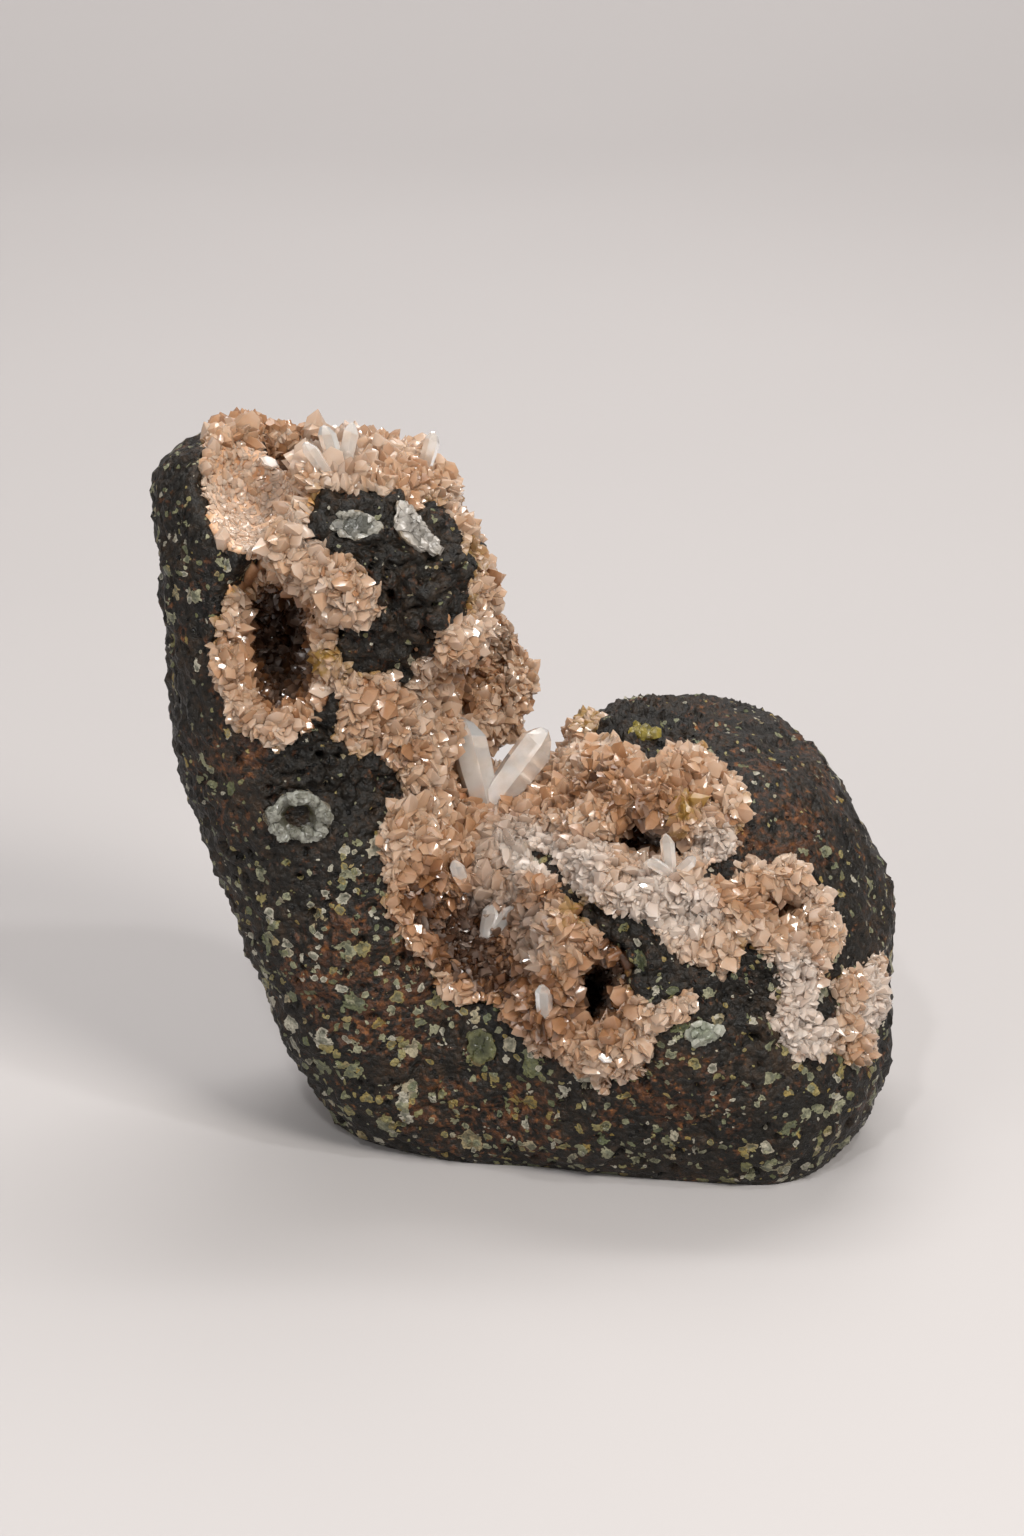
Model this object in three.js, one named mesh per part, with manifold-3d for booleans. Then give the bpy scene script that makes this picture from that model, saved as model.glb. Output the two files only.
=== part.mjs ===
// A hand specimen of dark vesicular basalt, bent like a boot round an open saddle, whose broken
// front and saddle are lined with peach heulandite. Two clear prisms stand in the saddle and a few
// pale mineral nodules are set in the rock. Millimetres, +Z up, the broken face looks along -Y.
import * as THREE from "three";
import { mergeVertices } from "three/addons/utils/BufferGeometryUtils.js";
import Module from "manifold-3d";

const wasm = await Module();
wasm.setup();

// Driving dimensions
const fitGap = 0.3; // clearance between two pieces that touch
const skin = 3.0; // thickness of a crystal layer on the rock's face
const lining = 2.6; // thickness of a crystal layer in a hollow
const faceTilt = THREE.MathUtils.degToRad(20); // the broken face and its hollows look up by this
const saddleAxis = [0.5, 64.8]; // X and Z of the line the rock bends round
const faceOrigin = new THREE.Vector3(0, 0, 59.6);
const toFrame = new THREE.Vector3(-2.91, 4.77, 0); // brings the middle of the footprint to the origin
const rings = 26; // sections along the rock
const sides = 14; // points round a section
const squareness = 2.5; // exponent of a section's superellipse
const mouth = 60; // how far a hollow's walls run out in front of its rim
const far = 200; // further than any point of the rock

// Sections of the rock round the saddle: angle from +X, inner and outer radius, half depth to the
// front and to the back. The tower is at 100 to 200 degrees, the foot at 250 to 310, the hump at 370.
const sections = [
  [100, 21, 42.5, 19, 13],
  [106, 20, 45.5, 20, 15],
  [111, 19, 50.5, 22, 18],
  [119, 18, 57, 22, 22],
  [127, 18, 65, 22, 22],
  [134, 17, 70.2, 22, 22],
  [141, 15, 71.5, 22, 22],
  [147, 13, 67.8, 22, 23],
  [160, 11, 59.5, 23, 23],
  [177, 11, 53.6, 24, 24],
  [200, 11.5, 52.4, 25, 25],
  [223, 11, 57.2, 26, 26],
  [239, 10, 66.6, 26, 27],
  [247, 9.5, 72, 26, 28],
  [258, 9, 72.5, 27, 29],
  [271, 8.5, 73, 29, 29],
  [283, 8.5, 76.5, 33, 30],
  [295, 9, 82.5, 36, 30],
  [303, 9, 88, 37, 30],
  [310, 9.2, 86, 37, 30],
  [318, 9.2, 81, 36, 29],
  [329, 9.4, 72, 33, 28],
  [338, 10, 65.6, 30.5, 28],
  [347, 11, 57.2, 28, 27],
  [354, 12, 50.5, 26, 26],
  [359.5, 11.5, 44.5, 24.5, 25],
  [364, 10.5, 37, 22.5, 23],
  [370, 9.5, 23, 20, 20],
];
const towerRound = 14; // degrees over which the tower's end closes
const humpRound = 16;
const towerReach = 32; // radius of the middle of the tower's end, from the saddle's line
const humpReach = 16;

// Outlines on the broken face, [X, height along the face], seen square on
const towerOutline = [
  [-48.5, 54], [-47.5, 64], [-9, 64], [-9.5, 45], [-2.5, 30], [-10, 19.5], [-17.5, 14],
  [-25, 15.5], [-33.5, 9], [-34.5, 5], [-42, 6], [-47, 19.5], [-38, 33], [-45, 35.5],
];
const capOutline = [
  [-31.5, 43.5], [-22, 43.5], [-15, 40.5], [-11, 42], [-7.5, 37.5], [-6.5, 27], [-11.5, 21.5],
  [-11, 19], [-17.5, 15], [-25, 16.5], [-27.5, 22.5], [-22.5, 22], [-20.5, 28], [-30.5, 36],
];
const neckOutline = [
  [-6, 26.5], [-3.5, 20], [-8, -7.5], [-19, -7.5], [-17, -5], [-18.5, 1], [-21, 3.5], [-25.5, 1.5],
  [-27.5, 6.5], [-26.5, 16], [-18, 15.5], [-11, 19.5],
];
const mainOutline = [
  [-21, -9.5], [-20, -5], [-11.5, -2], [-9, 1.5], [8, 2], [8.5, 5.5], [14, 9], [14, 5], [22, 1.5],
  [22.5, -1.5], [25, 3.5], [29, 4], [35.5, -1], [34.5, -13.5], [29.5, -16], [34, -17.5], [37, -15],
  [40, -22], [36.5, -25], [36, -30], [22, -41.5], [20.5, -49], [15.5, -47], [14.5, -50],
  [-4, -36.5], [-12, -36.5], [-13.5, -29], [-18, -25.5],
];
const armOutline = [
  [38, -14], [45, -14], [52.5, -26.5], [49, -28.5], [48, -40], [52, -36.5], [51, -33.5],
  [60, -28.5], [57, -46], [50.5, -44], [44, -45.5], [41.5, -42], [41, -30.5], [36.5, -25],
  [35, -18],
];
const wedgeOutline = [
  [32, -32], [22.5, -36.5], [20, -35.5], [2.5, -12], [6.5, -12.5], [9.5, -19], [22, -24],
];
const lobeOutline = [
  [-5, 5], [-9.5, 7], [-10, 19.5], [-7, 29.5], [3, 17.5],
];

// How far back from the front each crystal patch wraps, as a Y
const patches = [
  { outline: towerOutline, back: 17 },
  { outline: neckOutline, back: 12 },
  { outline: mainOutline, back: 19 },
  { outline: armOutline, back: -4 },
  { outline: lobeOutline, back: 18 },
];
const islands = [capOutline, wedgeOutline];

const ahead = new THREE.Vector3(0, Math.cos(faceTilt), -Math.sin(faceTilt)); // into the face
const upFace = new THREE.Vector3(0, Math.sin(faceTilt), Math.cos(faceTilt));
const right = new THREE.Vector3(1, 0, 0);
const at = (x, y, z) => new THREE.Vector3(x, y, z);
const onFace = (a, b, depth) =>
  faceOrigin.clone().addScaledVector(right, a).addScaledVector(upFace, b).addScaledVector(ahead, depth);

// Hollows: the middle of the rim, the way in, half width, half height, depth, and how blunt the
// bottom is
const craterWay = at(0.15, 0.2, -0.97);
const hollows = [
  { rim: onFace(-36.5, 19.5, -30), into: ahead, wide: 9.5, high: 14.5, deep: 20, blunt: 2.2 }, // window
  { rim: onFace(-39.5, 47, -34), into: ahead, wide: 9.5, high: 14, deep: 17, blunt: 4 }, // slab
  { rim: at(-31, 2, 116), into: craterWay, wide: 12, high: 9.5, deep: 24, blunt: 2.5 }, // crater on top
  { rim: at(-5, 5, 77), into: at(-1, 0.1, -0.12), wide: 6.5, high: 9, deep: 13, blunt: 2.5 }, // side
  { rim: onFace(-5.5, 17, 6), into: ahead, wide: 4.5, high: 4.5, deep: 10, blunt: 2.2 }, // in the lobe
  { rim: onFace(-5, -27, -22), into: ahead, wide: 15, high: 17, deep: 10, blunt: 2 }, // belly
  { rim: onFace(13, -35, -19), into: ahead, wide: 6, high: 8.5, deep: 18, blunt: 2.4 }, // cave
  { rim: onFace(21, -11, -23), into: ahead, wide: 11, high: 6, deep: 12, blunt: 2.2 }, // shelf
  { rim: onFace(43.5, -21.5, -22), into: ahead, wide: 7, high: 6, deep: 9, blunt: 2 }, // in the arm
];

// The lobe: a wall of the tower's foot that bulges into the saddle behind the neck
const lobe = { middle: at(-10, 14.5, 71), half: at(12.5, 8.5, 14), lean: THREE.MathUtils.degToRad(-14) };

// Clear prisms in the saddle: foot, tip, and width
const clearPrisms = [
  { foot: at(-4.3, -8.6, 56.5), tip: at(-8.0, -4.4, 70.8), wide: 6.4 },
  { foot: at(-3.0, -8.6, 57.5), tip: at(5.8, -5.2, 68.8), wide: 6.6 },
];
const prismShape = { flat: 0.85, faces: 6, point: 0.3 }; // point is the share that tapers
const socketShape = { ...prismShape, flat: 0.88 };
const socketWider = 2.6 * fitGap; // keeps the gap at the corners of the prism too

// Larger single crystals of the crust: foot, tip, width, and how flat they are
const largeCrystals = [
  { foot: onFace(3.9, -39.6, -17), tip: onFace(3.6, -32.6, -21), wide: 2.6, flat: 0.9 },
  { foot: onFace(25.0, -15.5, -22), tip: onFace(24.1, -8.4, -27), wide: 4.2, flat: 0.45 },
  { foot: onFace(26.5, -18.5, -22), tip: onFace(27.8, -13.6, -27), wide: 3.6, flat: 0.5 },
];

// The crust's coarse crystals, before a size from 0.75 to 1.25: how far each is sunk and stands out, its
// width and flatness, how far it may lean, and the field of rays that finds its place
const coarse = { sunk: 1.6, reach: 3.4, wide: 4.4, flat: 0.6, lean: 0.9 };
const field = { middle: at(0, 0, 62), width: 120 };
const fieldViews = [
  { way: ahead, count: 72 },
  { way: at(0.1, 0.5, -0.86), count: 20 },
  { way: at(-0.8, 0.5, -0.3), count: 10 },
];

// Nodules set in the rock's skin: middle on the face, half sizes across, up and through
const nodules = [
  { name: "ring_nodule", a: -33.3, b: -6.9, half: [5.2, 4.4, 2.4], dished: true, colour: 0x9aa394 },
  { name: "cap_white_nodule", a: -15, b: 37.2, half: [3.0, 5.4, 2.2], colour: 0xc9cbc4 },
  { name: "cap_grey_nodule", a: -23.5, b: 37.6, half: [4.6, 2.4, 2.0], colour: 0x8d9488 },
  { name: "green_nodule", a: -5, b: -42.5, half: [3.2, 3.0, 1.9], colour: 0x5d6a4c },
  { name: "white_nodule", a: 29.8, b: -40.8, half: [2.8, 2.3, 1.8], colour: 0xb9bdb2 },
  { name: "yellow_nodule", a: 21.2, b: 6.4, half: [2.6, 2.2, 1.8], colour: 0x9c8a34 },
];

// A value from a table of rows by its first column, on a smooth curve through the rows.
function tableAt(table, key, column) {
  let i = 0;
  while (i < table.length - 2 && table[i + 1][0] < key) i++;
  const slope = (j) => {
    const lo = table[Math.max(j - 1, 0)];
    const hi = table[Math.min(j + 1, table.length - 1)];
    return (hi[column] - lo[column]) / (hi[0] - lo[0]);
  };
  const span = table[i + 1][0] - table[i][0];
  const t = THREE.MathUtils.clamp((key - table[i][0]) / span, 0, 1);
  const t2 = t * t;
  const t3 = t2 * t;
  return (
    (2 * t3 - 3 * t2 + 1) * table[i][column] +
    (t3 - 2 * t2 + t) * span * slope(i) +
    (3 * t2 - 2 * t3) * table[i + 1][column] +
    (t3 - t2) * span * slope(i + 1)
  );
}

// Broad swells of a water-worn cobble, as a height in millimetres at a point.
function swell(p) {
  return (
    0.9 * Math.sin(p.x / 8 + 1.3) * Math.sin(p.z / 9 + 0.7) +
    0.7 * Math.sin(p.y / 6 + 2.1) * Math.sin((p.x + p.z) / 7)
  );
}

// A point on the plane Y = y, by its angle and distance from the saddle's line.
function roundSaddle(angle, radius, y) {
  const turn = THREE.MathUtils.degToRad(angle);
  return at(saddleAxis[0] + radius * Math.cos(turn), y, saddleAxis[1] + radius * Math.sin(turn));
}

// One section of the rock, shrunk by an inset: its middle and half sizes, and how far the form has
// closed (1 is open, 0 is the very end).
function sectionAt(angle, inset, first, last) {
  const [inner, outer, front, back] = [1, 2, 3, 4].map((column) => tableAt(sections, angle, column));
  const toTower = (first + towerRound - angle) / towerRound;
  const toHump = (angle - last + humpRound) / humpRound;
  const toEnd = THREE.MathUtils.clamp(Math.max(toTower, toHump), 0, 1);
  return {
    middle: (inner + outer) / 2,
    half: (outer - inner) / 2 - inset,
    front: front - inset,
    back: back - inset,
    open: Math.sqrt(1 - toEnd * toEnd),
  };
}

// The bent rock, or the same form shrunk by an inset, as one closed geometry: superellipse rings
// round the saddle, closed to a point at the tower's end and at the hump's end.
function bentForm(inset) {
  const towerEnd = sections[0][0];
  const humpEnd = sections[sections.length - 1][0];
  const first = towerEnd + (inset / towerReach) * THREE.MathUtils.RAD2DEG;
  const last = humpEnd - (inset / humpReach) * THREE.MathUtils.RAD2DEG;
  const crowding = 0.45; // how much closer the rings stand near the two ends
  const firstStep = 0.6; // from the very end to the first ring, as a share of a step
  const positions = [];
  const index = [];
  const push = (p) => positions.push(p.x, p.y, p.z) / 3 - 1;
  const power = (v) => Math.sign(v) * Math.abs(v) ** (2 / squareness);

  const start = push(roundSaddle(first, sectionAt(first, inset, first, last).middle, 0));
  for (let i = 0; i < rings; i++) {
    const even = (i + firstStep) / (rings - 1 + 2 * firstStep);
    const crowded = (1 - Math.cos(Math.PI * even)) / 2;
    const along = crowding * crowded + (1 - crowding) * even;
    const angle = THREE.MathUtils.clamp(towerEnd + (humpEnd - towerEnd) * along, first, last);
    const { middle, half, front, back, open } = sectionAt(angle, inset, first, last);
    const centre = roundSaddle(angle, middle, 0);
    for (let j = 0; j < sides; j++) {
      const turn = (2 * Math.PI * j) / sides;
      const across = power(Math.cos(turn));
      const deep = power(Math.sin(turn));
      const p = roundSaddle(angle, middle + half * open * across, -(deep > 0 ? front : back) * open * deep);
      const outwards = p.clone().sub(centre).normalize();
      push(p.addScaledVector(outwards, swell(p) * open));
    }
  }
  const end = push(roundSaddle(last, sectionAt(last, inset, first, last).middle, 0));

  const corner = (i, j) => start + 1 + i * sides + (j % sides);
  for (let j = 0; j < sides; j++) {
    index.push(start, corner(0, j), corner(0, j + 1));
    for (let i = 0; i < rings - 1; i++) {
      index.push(corner(i, j), corner(i + 1, j), corner(i + 1, j + 1));
      index.push(corner(i, j), corner(i + 1, j + 1), corner(i, j + 1));
    }
    index.push(corner(rings - 1, j), end, corner(rings - 1, j + 1));
  }
  const geometry = new THREE.BufferGeometry();
  geometry.setAttribute("position", new THREE.Float32BufferAttribute(positions, 3));
  geometry.setIndex(index);
  return geometry;
}

// A manifold-3d solid from a closed three.js geometry.
function solid(geometry) {
  const bare = geometry.clone();
  bare.deleteAttribute("normal");
  bare.deleteAttribute("uv");
  const merged = mergeVertices(bare, 1e-4);
  const corners = merged.index.array;
  const triVerts = [];
  for (let i = 0; i < corners.length; i += 3) {
    const [a, b, c] = corners.slice(i, i + 3);
    if (a !== b && b !== c && c !== a) triVerts.push(a, b, c);
  }
  return new wasm.Manifold(
    new wasm.Mesh({
      numProp: 3,
      vertProperties: merged.attributes.position.array,
      triVerts: new Uint32Array(triVerts),
    }),
  );
}

// A three.js geometry from a manifold-3d solid.
function geometryOf(made) {
  const mesh = made.getMesh();
  const geometry = new THREE.BufferGeometry();
  geometry.setAttribute("position", new THREE.BufferAttribute(new Float32Array(mesh.vertProperties), 3));
  geometry.setIndex(new THREE.BufferAttribute(new Uint32Array(mesh.triVerts), 1));
  return geometry;
}

const union = (solids) => solids.reduce((sum, next) => sum.add(next));
const largest = (made) => made.decompose().reduce((a, b) => (a.volume() > b.volume() ? a : b));

// The whole outer form, or the same form shrunk by an inset.
function formShrunk(inset) {
  const segments = [12, 8];
  const bulge = new THREE.SphereGeometry(1, ...segments)
    .scale(lobe.half.x - inset, lobe.half.y - inset, lobe.half.z - inset)
    .rotateY(lobe.lean)
    .translate(lobe.middle.x, lobe.middle.y, lobe.middle.z);
  return solid(bentForm(inset)).add(solid(bulge));
}

// An outline moved inwards by a distance (outwards if it is negative).
function insetOutline(outline, distance) {
  const points = outline.map(([x, y]) => new THREE.Vector2(x, y));
  const turn = THREE.ShapeUtils.area(points) > 0 ? 1 : -1;
  return points.map((p, i) => {
    const before = p.clone().sub(points[(i + points.length - 1) % points.length]).normalize();
    const after = points[(i + 1) % points.length].clone().sub(p).normalize();
    const sum = before.clone().add(after);
    const stretch = (turn * distance) / Math.max(1 + before.dot(after), 0.35);
    return new THREE.Vector2(p.x - sum.y * stretch, p.y + sum.x * stretch);
  });
}

// A prism of an outline along the way into the face, from in front of the rock to behind it.
function facePrism(outline, distance) {
  const behind = 40;
  const before = 60;
  const geometry = new THREE.ExtrudeGeometry(new THREE.Shape(insetOutline(outline, distance)), {
    depth: behind + before,
    bevelEnabled: false,
  });
  const place = new THREE.Matrix4().makeBasis(right, upFace, ahead.clone().negate());
  place.setPosition(onFace(0, 0, behind));
  return solid(geometry.applyMatrix4(place));
}

function box(low, high) {
  const size = high.clone().sub(low);
  const middle = low.clone().add(high).multiplyScalar(0.5);
  return solid(new THREE.BoxGeometry(size.x, size.y, size.z).translate(middle.x, middle.y, middle.z));
}

// The space over the crystal patches, less the islands of bare rock.
function patchSpace(distance) {
  const open = patches.map(({ outline, back }) =>
    facePrism(outline, distance).intersect(box(at(-far, -far, -far), at(far, back - distance, far))),
  );
  return union(open).subtract(union(islands.map((outline) => facePrism(outline, -distance))));
}

// The space of one hollow, a bowl that is open in front, smaller all round by a thickness.
function hollowSpace({ rim, into, wide, high, deep, blunt }, thickness) {
  const steps = 3;
  const corners = 8;
  const depth = deep - thickness;
  const profile = [];
  for (let i = 0; i <= steps; i++) {
    const s = Math.sin((Math.PI / 2) * (i / steps));
    profile.push(new THREE.Vector2(s, depth * (1 - s ** blunt)));
  }
  profile.push(new THREE.Vector2(1, -mouth), new THREE.Vector2(0, -mouth));
  const geometry = new THREE.LatheGeometry(profile, corners);
  geometry.scale(wide - thickness, 1, high - thickness);
  const way = into.clone().normalize();
  const across = new THREE.Vector3().crossVectors(way, at(0, 0, 1)).normalize();
  const up = new THREE.Vector3().crossVectors(across, way);
  const place = new THREE.Matrix4().makeBasis(across, way, up.negate());
  place.setPosition(rim);
  return solid(geometry.applyMatrix4(place));
}

const hollowSpaces = (thickness) => union(hollows.map((h) => hollowSpace(h, thickness)));

// A crystal from its foot to its tip: a prism with flat sides and a pointed end.
function crystal({ foot, tip, wide, flat, faces = 5, point = 0.35, turn = 0 }) {
  const long = foot.distanceTo(tip);
  const radius = wide / 2;
  const profile = [
    new THREE.Vector2(0, 0),
    new THREE.Vector2(radius * 0.85, 0),
    new THREE.Vector2(radius, long * (1 - point)),
    new THREE.Vector2(0, long),
  ];
  const geometry = new THREE.LatheGeometry(profile, faces).rotateY(turn).scale(1, 1, flat);
  const way = tip.clone().sub(foot).normalize();
  geometry.applyQuaternion(new THREE.Quaternion().setFromUnitVectors(at(0, 1, 0), way));
  return solid(geometry.translate(foot.x, foot.y, foot.z));
}

// A repeatable stream of numbers from 0 to 1.
function randomStream(seed) {
  let state = seed;
  return () => {
    state = (state * 16807) % 2147483647;
    return state / 2147483647;
  };
}

// Coarse crystals that stand on a crust, where rays from in front, above and the right meet it.
function crystalsOn(crustSolid) {
  const mesh = new THREE.Mesh(geometryOf(crustSolid), new THREE.MeshBasicMaterial());
  const caster = new THREE.Raycaster();
  const random = randomStream(20260);
  const made = [];
  for (const { way, count } of fieldViews) {
    const side = new THREE.Vector3().crossVectors(way, at(0, 0, 1)).normalize();
    const rise = new THREE.Vector3().crossVectors(side, way);
    for (let n = 0; n < count; n++) {
      const start = field.middle
        .clone()
        .addScaledVector(side, (random() - 0.5) * field.width)
        .addScaledVector(rise, (random() - 0.5) * field.width)
        .addScaledVector(way, -far);
      const lean = at(random() - 0.5, random() - 0.5, random() - 0.5).multiplyScalar(coarse.lean);
      const size = 0.75 + 0.5 * random();
      const turn = random() * Math.PI;
      caster.set(start, way.clone().normalize());
      const [hit] = caster.intersectObject(mesh);
      if (!hit) continue;
      const out = hit.face.normal.clone().add(lean).normalize();
      made.push({
        foot: hit.point.clone().addScaledVector(out, -coarse.sunk),
        tip: hit.point.clone().addScaledVector(out, coarse.reach * size),
        wide: coarse.wide * size,
        flat: coarse.flat,
        turn,
      });
    }
  }
  return made;
}

// Where a nodule sits: its middle on the rock's skin, under its place on the face, and the way out.
function noduleSeat({ a, b }, rockMesh) {
  const caster = new THREE.Raycaster(onFace(a, b, -far), ahead);
  const [hit] = caster.intersectObject(rockMesh);
  return { middle: hit.point, out: hit.face.normal.clone() };
}

// A nodule as a lens in the rock's skin, swollen by a margin; a dished one has a hollow middle.
function noduleLens({ half, dished, middle, out }, margin) {
  const crown = dished ? 0.15 : 0.75; // height of the middle, as a share of the half thickness
  const profile = [
    new THREE.Vector2(0, -1),
    new THREE.Vector2(0.72, -0.75),
    new THREE.Vector2(1, 0),
    new THREE.Vector2(0.72, 0.62),
    new THREE.Vector2(0, crown),
  ];
  const geometry = new THREE.LatheGeometry(profile, 9);
  geometry.scale(half[0] + margin, half[2] + margin, half[1] + margin);
  const across = new THREE.Vector3().crossVectors(out, upFace).normalize();
  const rise = new THREE.Vector3().crossVectors(across, out);
  const place = new THREE.Matrix4().makeBasis(across, out, rise);
  place.setPosition(middle);
  return solid(geometry.applyMatrix4(place));
}

// The rock without its nodules, and the bed that the crystals fill
const whole = formShrunk(0);
const ground = box(at(-far, -far, -far), at(far, far, 0));
const bareRock = largest(
  whole.subtract(patchSpace(0)).add(formShrunk(skin)).subtract(hollowSpaces(0)).subtract(ground),
);
const bed = patchSpace(fitGap).subtract(formShrunk(skin - fitGap)).add(hollowSpaces(fitGap));

// The nodules, and the rock with their sockets
const rockMesh = new THREE.Mesh(geometryOf(bareRock), new THREE.MeshBasicMaterial());
const setNodules = nodules.map((nodule) => ({ ...nodule, ...noduleSeat(nodule, rockMesh) }));
const noduleSockets = union(setNodules.map((n) => noduleLens(n, fitGap)));
const basalt = bareRock.subtract(noduleSockets);

// The crust, its coarse crystals, and the sockets of the clear prisms
const lumps = whole.intersect(bed).subtract(hollowSpaces(lining));
const prisms = union(clearPrisms.map((p) => crystal({ ...p, ...prismShape })));
const sockets = union(
  clearPrisms.map((p) => {
    const way = p.tip.clone().sub(p.foot).normalize();
    return crystal({
      foot: p.foot.clone().addScaledVector(way, -fitGap),
      tip: p.tip.clone().addScaledVector(way, fitGap),
      wide: p.wide + socketWider,
      ...socketShape,
    });
  }),
);
const crystals = union([...crystalsOn(lumps), ...largeCrystals].map(crystal));
const grown = lumps.add(crystals.intersect(bed)).subtract(ground);
const crust = largest(grown.subtract(sockets).subtract(noduleSockets));

const specimen = new THREE.Group();
function addPiece(name, made, color, roughness) {
  const material = new THREE.MeshStandardMaterial({ color, roughness, metalness: 0 });
  const mesh = new THREE.Mesh(geometryOf(made), material);
  mesh.name = name;
  specimen.add(mesh);
}
addPiece("basalt", basalt, 0x2a2622, 0.75);
addPiece("heulandite_crust", crust, 0xd9b9a4, 0.3);
addPiece("clear_prisms", prisms, 0xe6e0d8, 0.1);
for (const n of setNodules) addPiece(n.name, noduleLens(n, 0), n.colour, 0.45);

specimen.position.copy(toFrame);

export default specimen;
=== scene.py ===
"""A heulandite cluster: dark vesicular basalt bent round an open saddle, its broken front, saddle and
pockets lined with peach heulandite, two clear prisms in the saddle and pale nodules in the rock."""

import math

import bpy
import numpy as np
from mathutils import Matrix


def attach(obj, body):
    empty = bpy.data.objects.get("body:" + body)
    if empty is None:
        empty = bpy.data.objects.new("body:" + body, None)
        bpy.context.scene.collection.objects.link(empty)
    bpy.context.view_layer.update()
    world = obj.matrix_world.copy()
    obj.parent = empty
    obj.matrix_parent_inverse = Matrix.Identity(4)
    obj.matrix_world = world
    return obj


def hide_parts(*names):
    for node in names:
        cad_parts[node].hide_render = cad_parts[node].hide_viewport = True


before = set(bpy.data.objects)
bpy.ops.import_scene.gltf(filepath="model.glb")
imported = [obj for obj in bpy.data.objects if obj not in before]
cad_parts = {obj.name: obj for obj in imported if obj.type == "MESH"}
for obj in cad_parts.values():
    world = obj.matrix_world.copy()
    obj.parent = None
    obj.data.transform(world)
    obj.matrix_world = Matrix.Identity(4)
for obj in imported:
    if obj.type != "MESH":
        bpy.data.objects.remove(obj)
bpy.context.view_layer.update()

# The rock's form: a worn cobble of basalt that bends round the saddle like a boot, with a tower, a
# foot and a hump, and a lobe that bulges into the saddle. Lengths are millimetres until a mesh is made.
MM = 0.001
TO_FRAME = np.array([-2.91, 4.77, 0.0])  # from the rock's own frame to the part's
FACE_TILT = math.radians(20)
FACE_ORIGIN = np.array([0.0, 0.0, 59.6])
RIGHT = np.array([1.0, 0.0, 0.0])
AHEAD = np.array([0.0, math.cos(FACE_TILT), -math.sin(FACE_TILT)])
UP_FACE = np.array([0.0, math.sin(FACE_TILT), math.cos(FACE_TILT)])
SADDLE = np.array([0.5, 64.8])
SQUARENESS = 2.5
TOWER_ROUND = 14.0
HUMP_ROUND = 16.0
# Angle round the saddle, inner and outer radius, half depth to the front and to the back
SECTIONS = np.array([
    [100, 21, 42.5, 19, 13], [106, 20, 45.5, 20, 15], [111, 19, 50.5, 22, 18], [119, 18, 57, 22, 22],
    [127, 18, 65, 22, 22], [134, 17, 70.2, 22, 22], [141, 15, 71.5, 22, 22], [147, 13, 67.8, 22, 23],
    [160, 11, 59.5, 23, 23], [177, 11, 53.6, 24, 24], [200, 11.5, 52.4, 25, 25], [223, 11, 57.2, 26, 26],
    [239, 10, 66.6, 26, 27], [247, 9.5, 72, 26, 28], [258, 9, 72.5, 27, 29], [271, 8.5, 73, 29, 29],
    [283, 8.5, 76.5, 33, 30], [295, 9, 82.5, 36, 30], [303, 9, 88, 37, 30], [310, 9.2, 86, 37, 30],
    [318, 9.2, 81, 36, 29], [329, 9.4, 72, 33, 28], [338, 10, 65.6, 30.5, 28], [347, 11, 57.2, 28, 27],
    [354, 12, 50.5, 26, 26], [359.5, 11.5, 44.5, 24.5, 25], [364, 10.5, 37, 22.5, 23],
    [370, 9.5, 23, 20, 20],
])
LOBE_MIDDLE = np.array([-10.0, 14.5, 71.0])
LOBE_HALF = np.array([12.5, 8.5, 14.0])
LOBE_LEAN = math.radians(-14)
LOBE_ROOT = np.array([-17.0, 14.5, 70.0])  # the lobe swells out of the tower from this point


def on_face(a, b, depth):
    """The point at a across and b up the broken face, depth further along the way into the rock."""
    return FACE_ORIGIN + a * RIGHT + b * UP_FACE + depth * AHEAD


def table_at(table, keys):
    """Each column at the given first-column values, on cubic Hermite curves through the rows."""
    x = table[:, 0]
    y = table[:, 1:]
    before = np.vstack([y[:1], y[:-1]])
    after = np.vstack([y[1:], y[-1:]])
    run = np.append(x[1:], x[-1]) - np.insert(x[:-1], 0, x[0])
    slope = (after - before) / run[:, None]
    i = np.clip(np.searchsorted(x, keys, side="right") - 1, 0, len(x) - 2)
    span = (x[i + 1] - x[i])[:, None]
    t = np.clip((keys - x[i])[:, None] / span, 0, 1)
    rise = (3 - 2 * t) * t * t
    lift = (t * t * t - 2 * t * t + t) * span * slope[i]
    dip = (t * t * t - t * t) * span * slope[i + 1]
    return (1 - rise) * y[i] + rise * y[i + 1] + lift + dip


def swell(p):
    """Broad swells of the cobble: two products of sines of the place, in millimetres."""
    x, y, z = p[..., 0], p[..., 1], p[..., 2]
    one = 0.9 * np.sin(x / 8 + 1.3) * np.sin(z / 9 + 0.7)
    return one + 0.7 * np.sin(y / 6 + 2.1) * np.sin((x + z) / 7)


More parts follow.
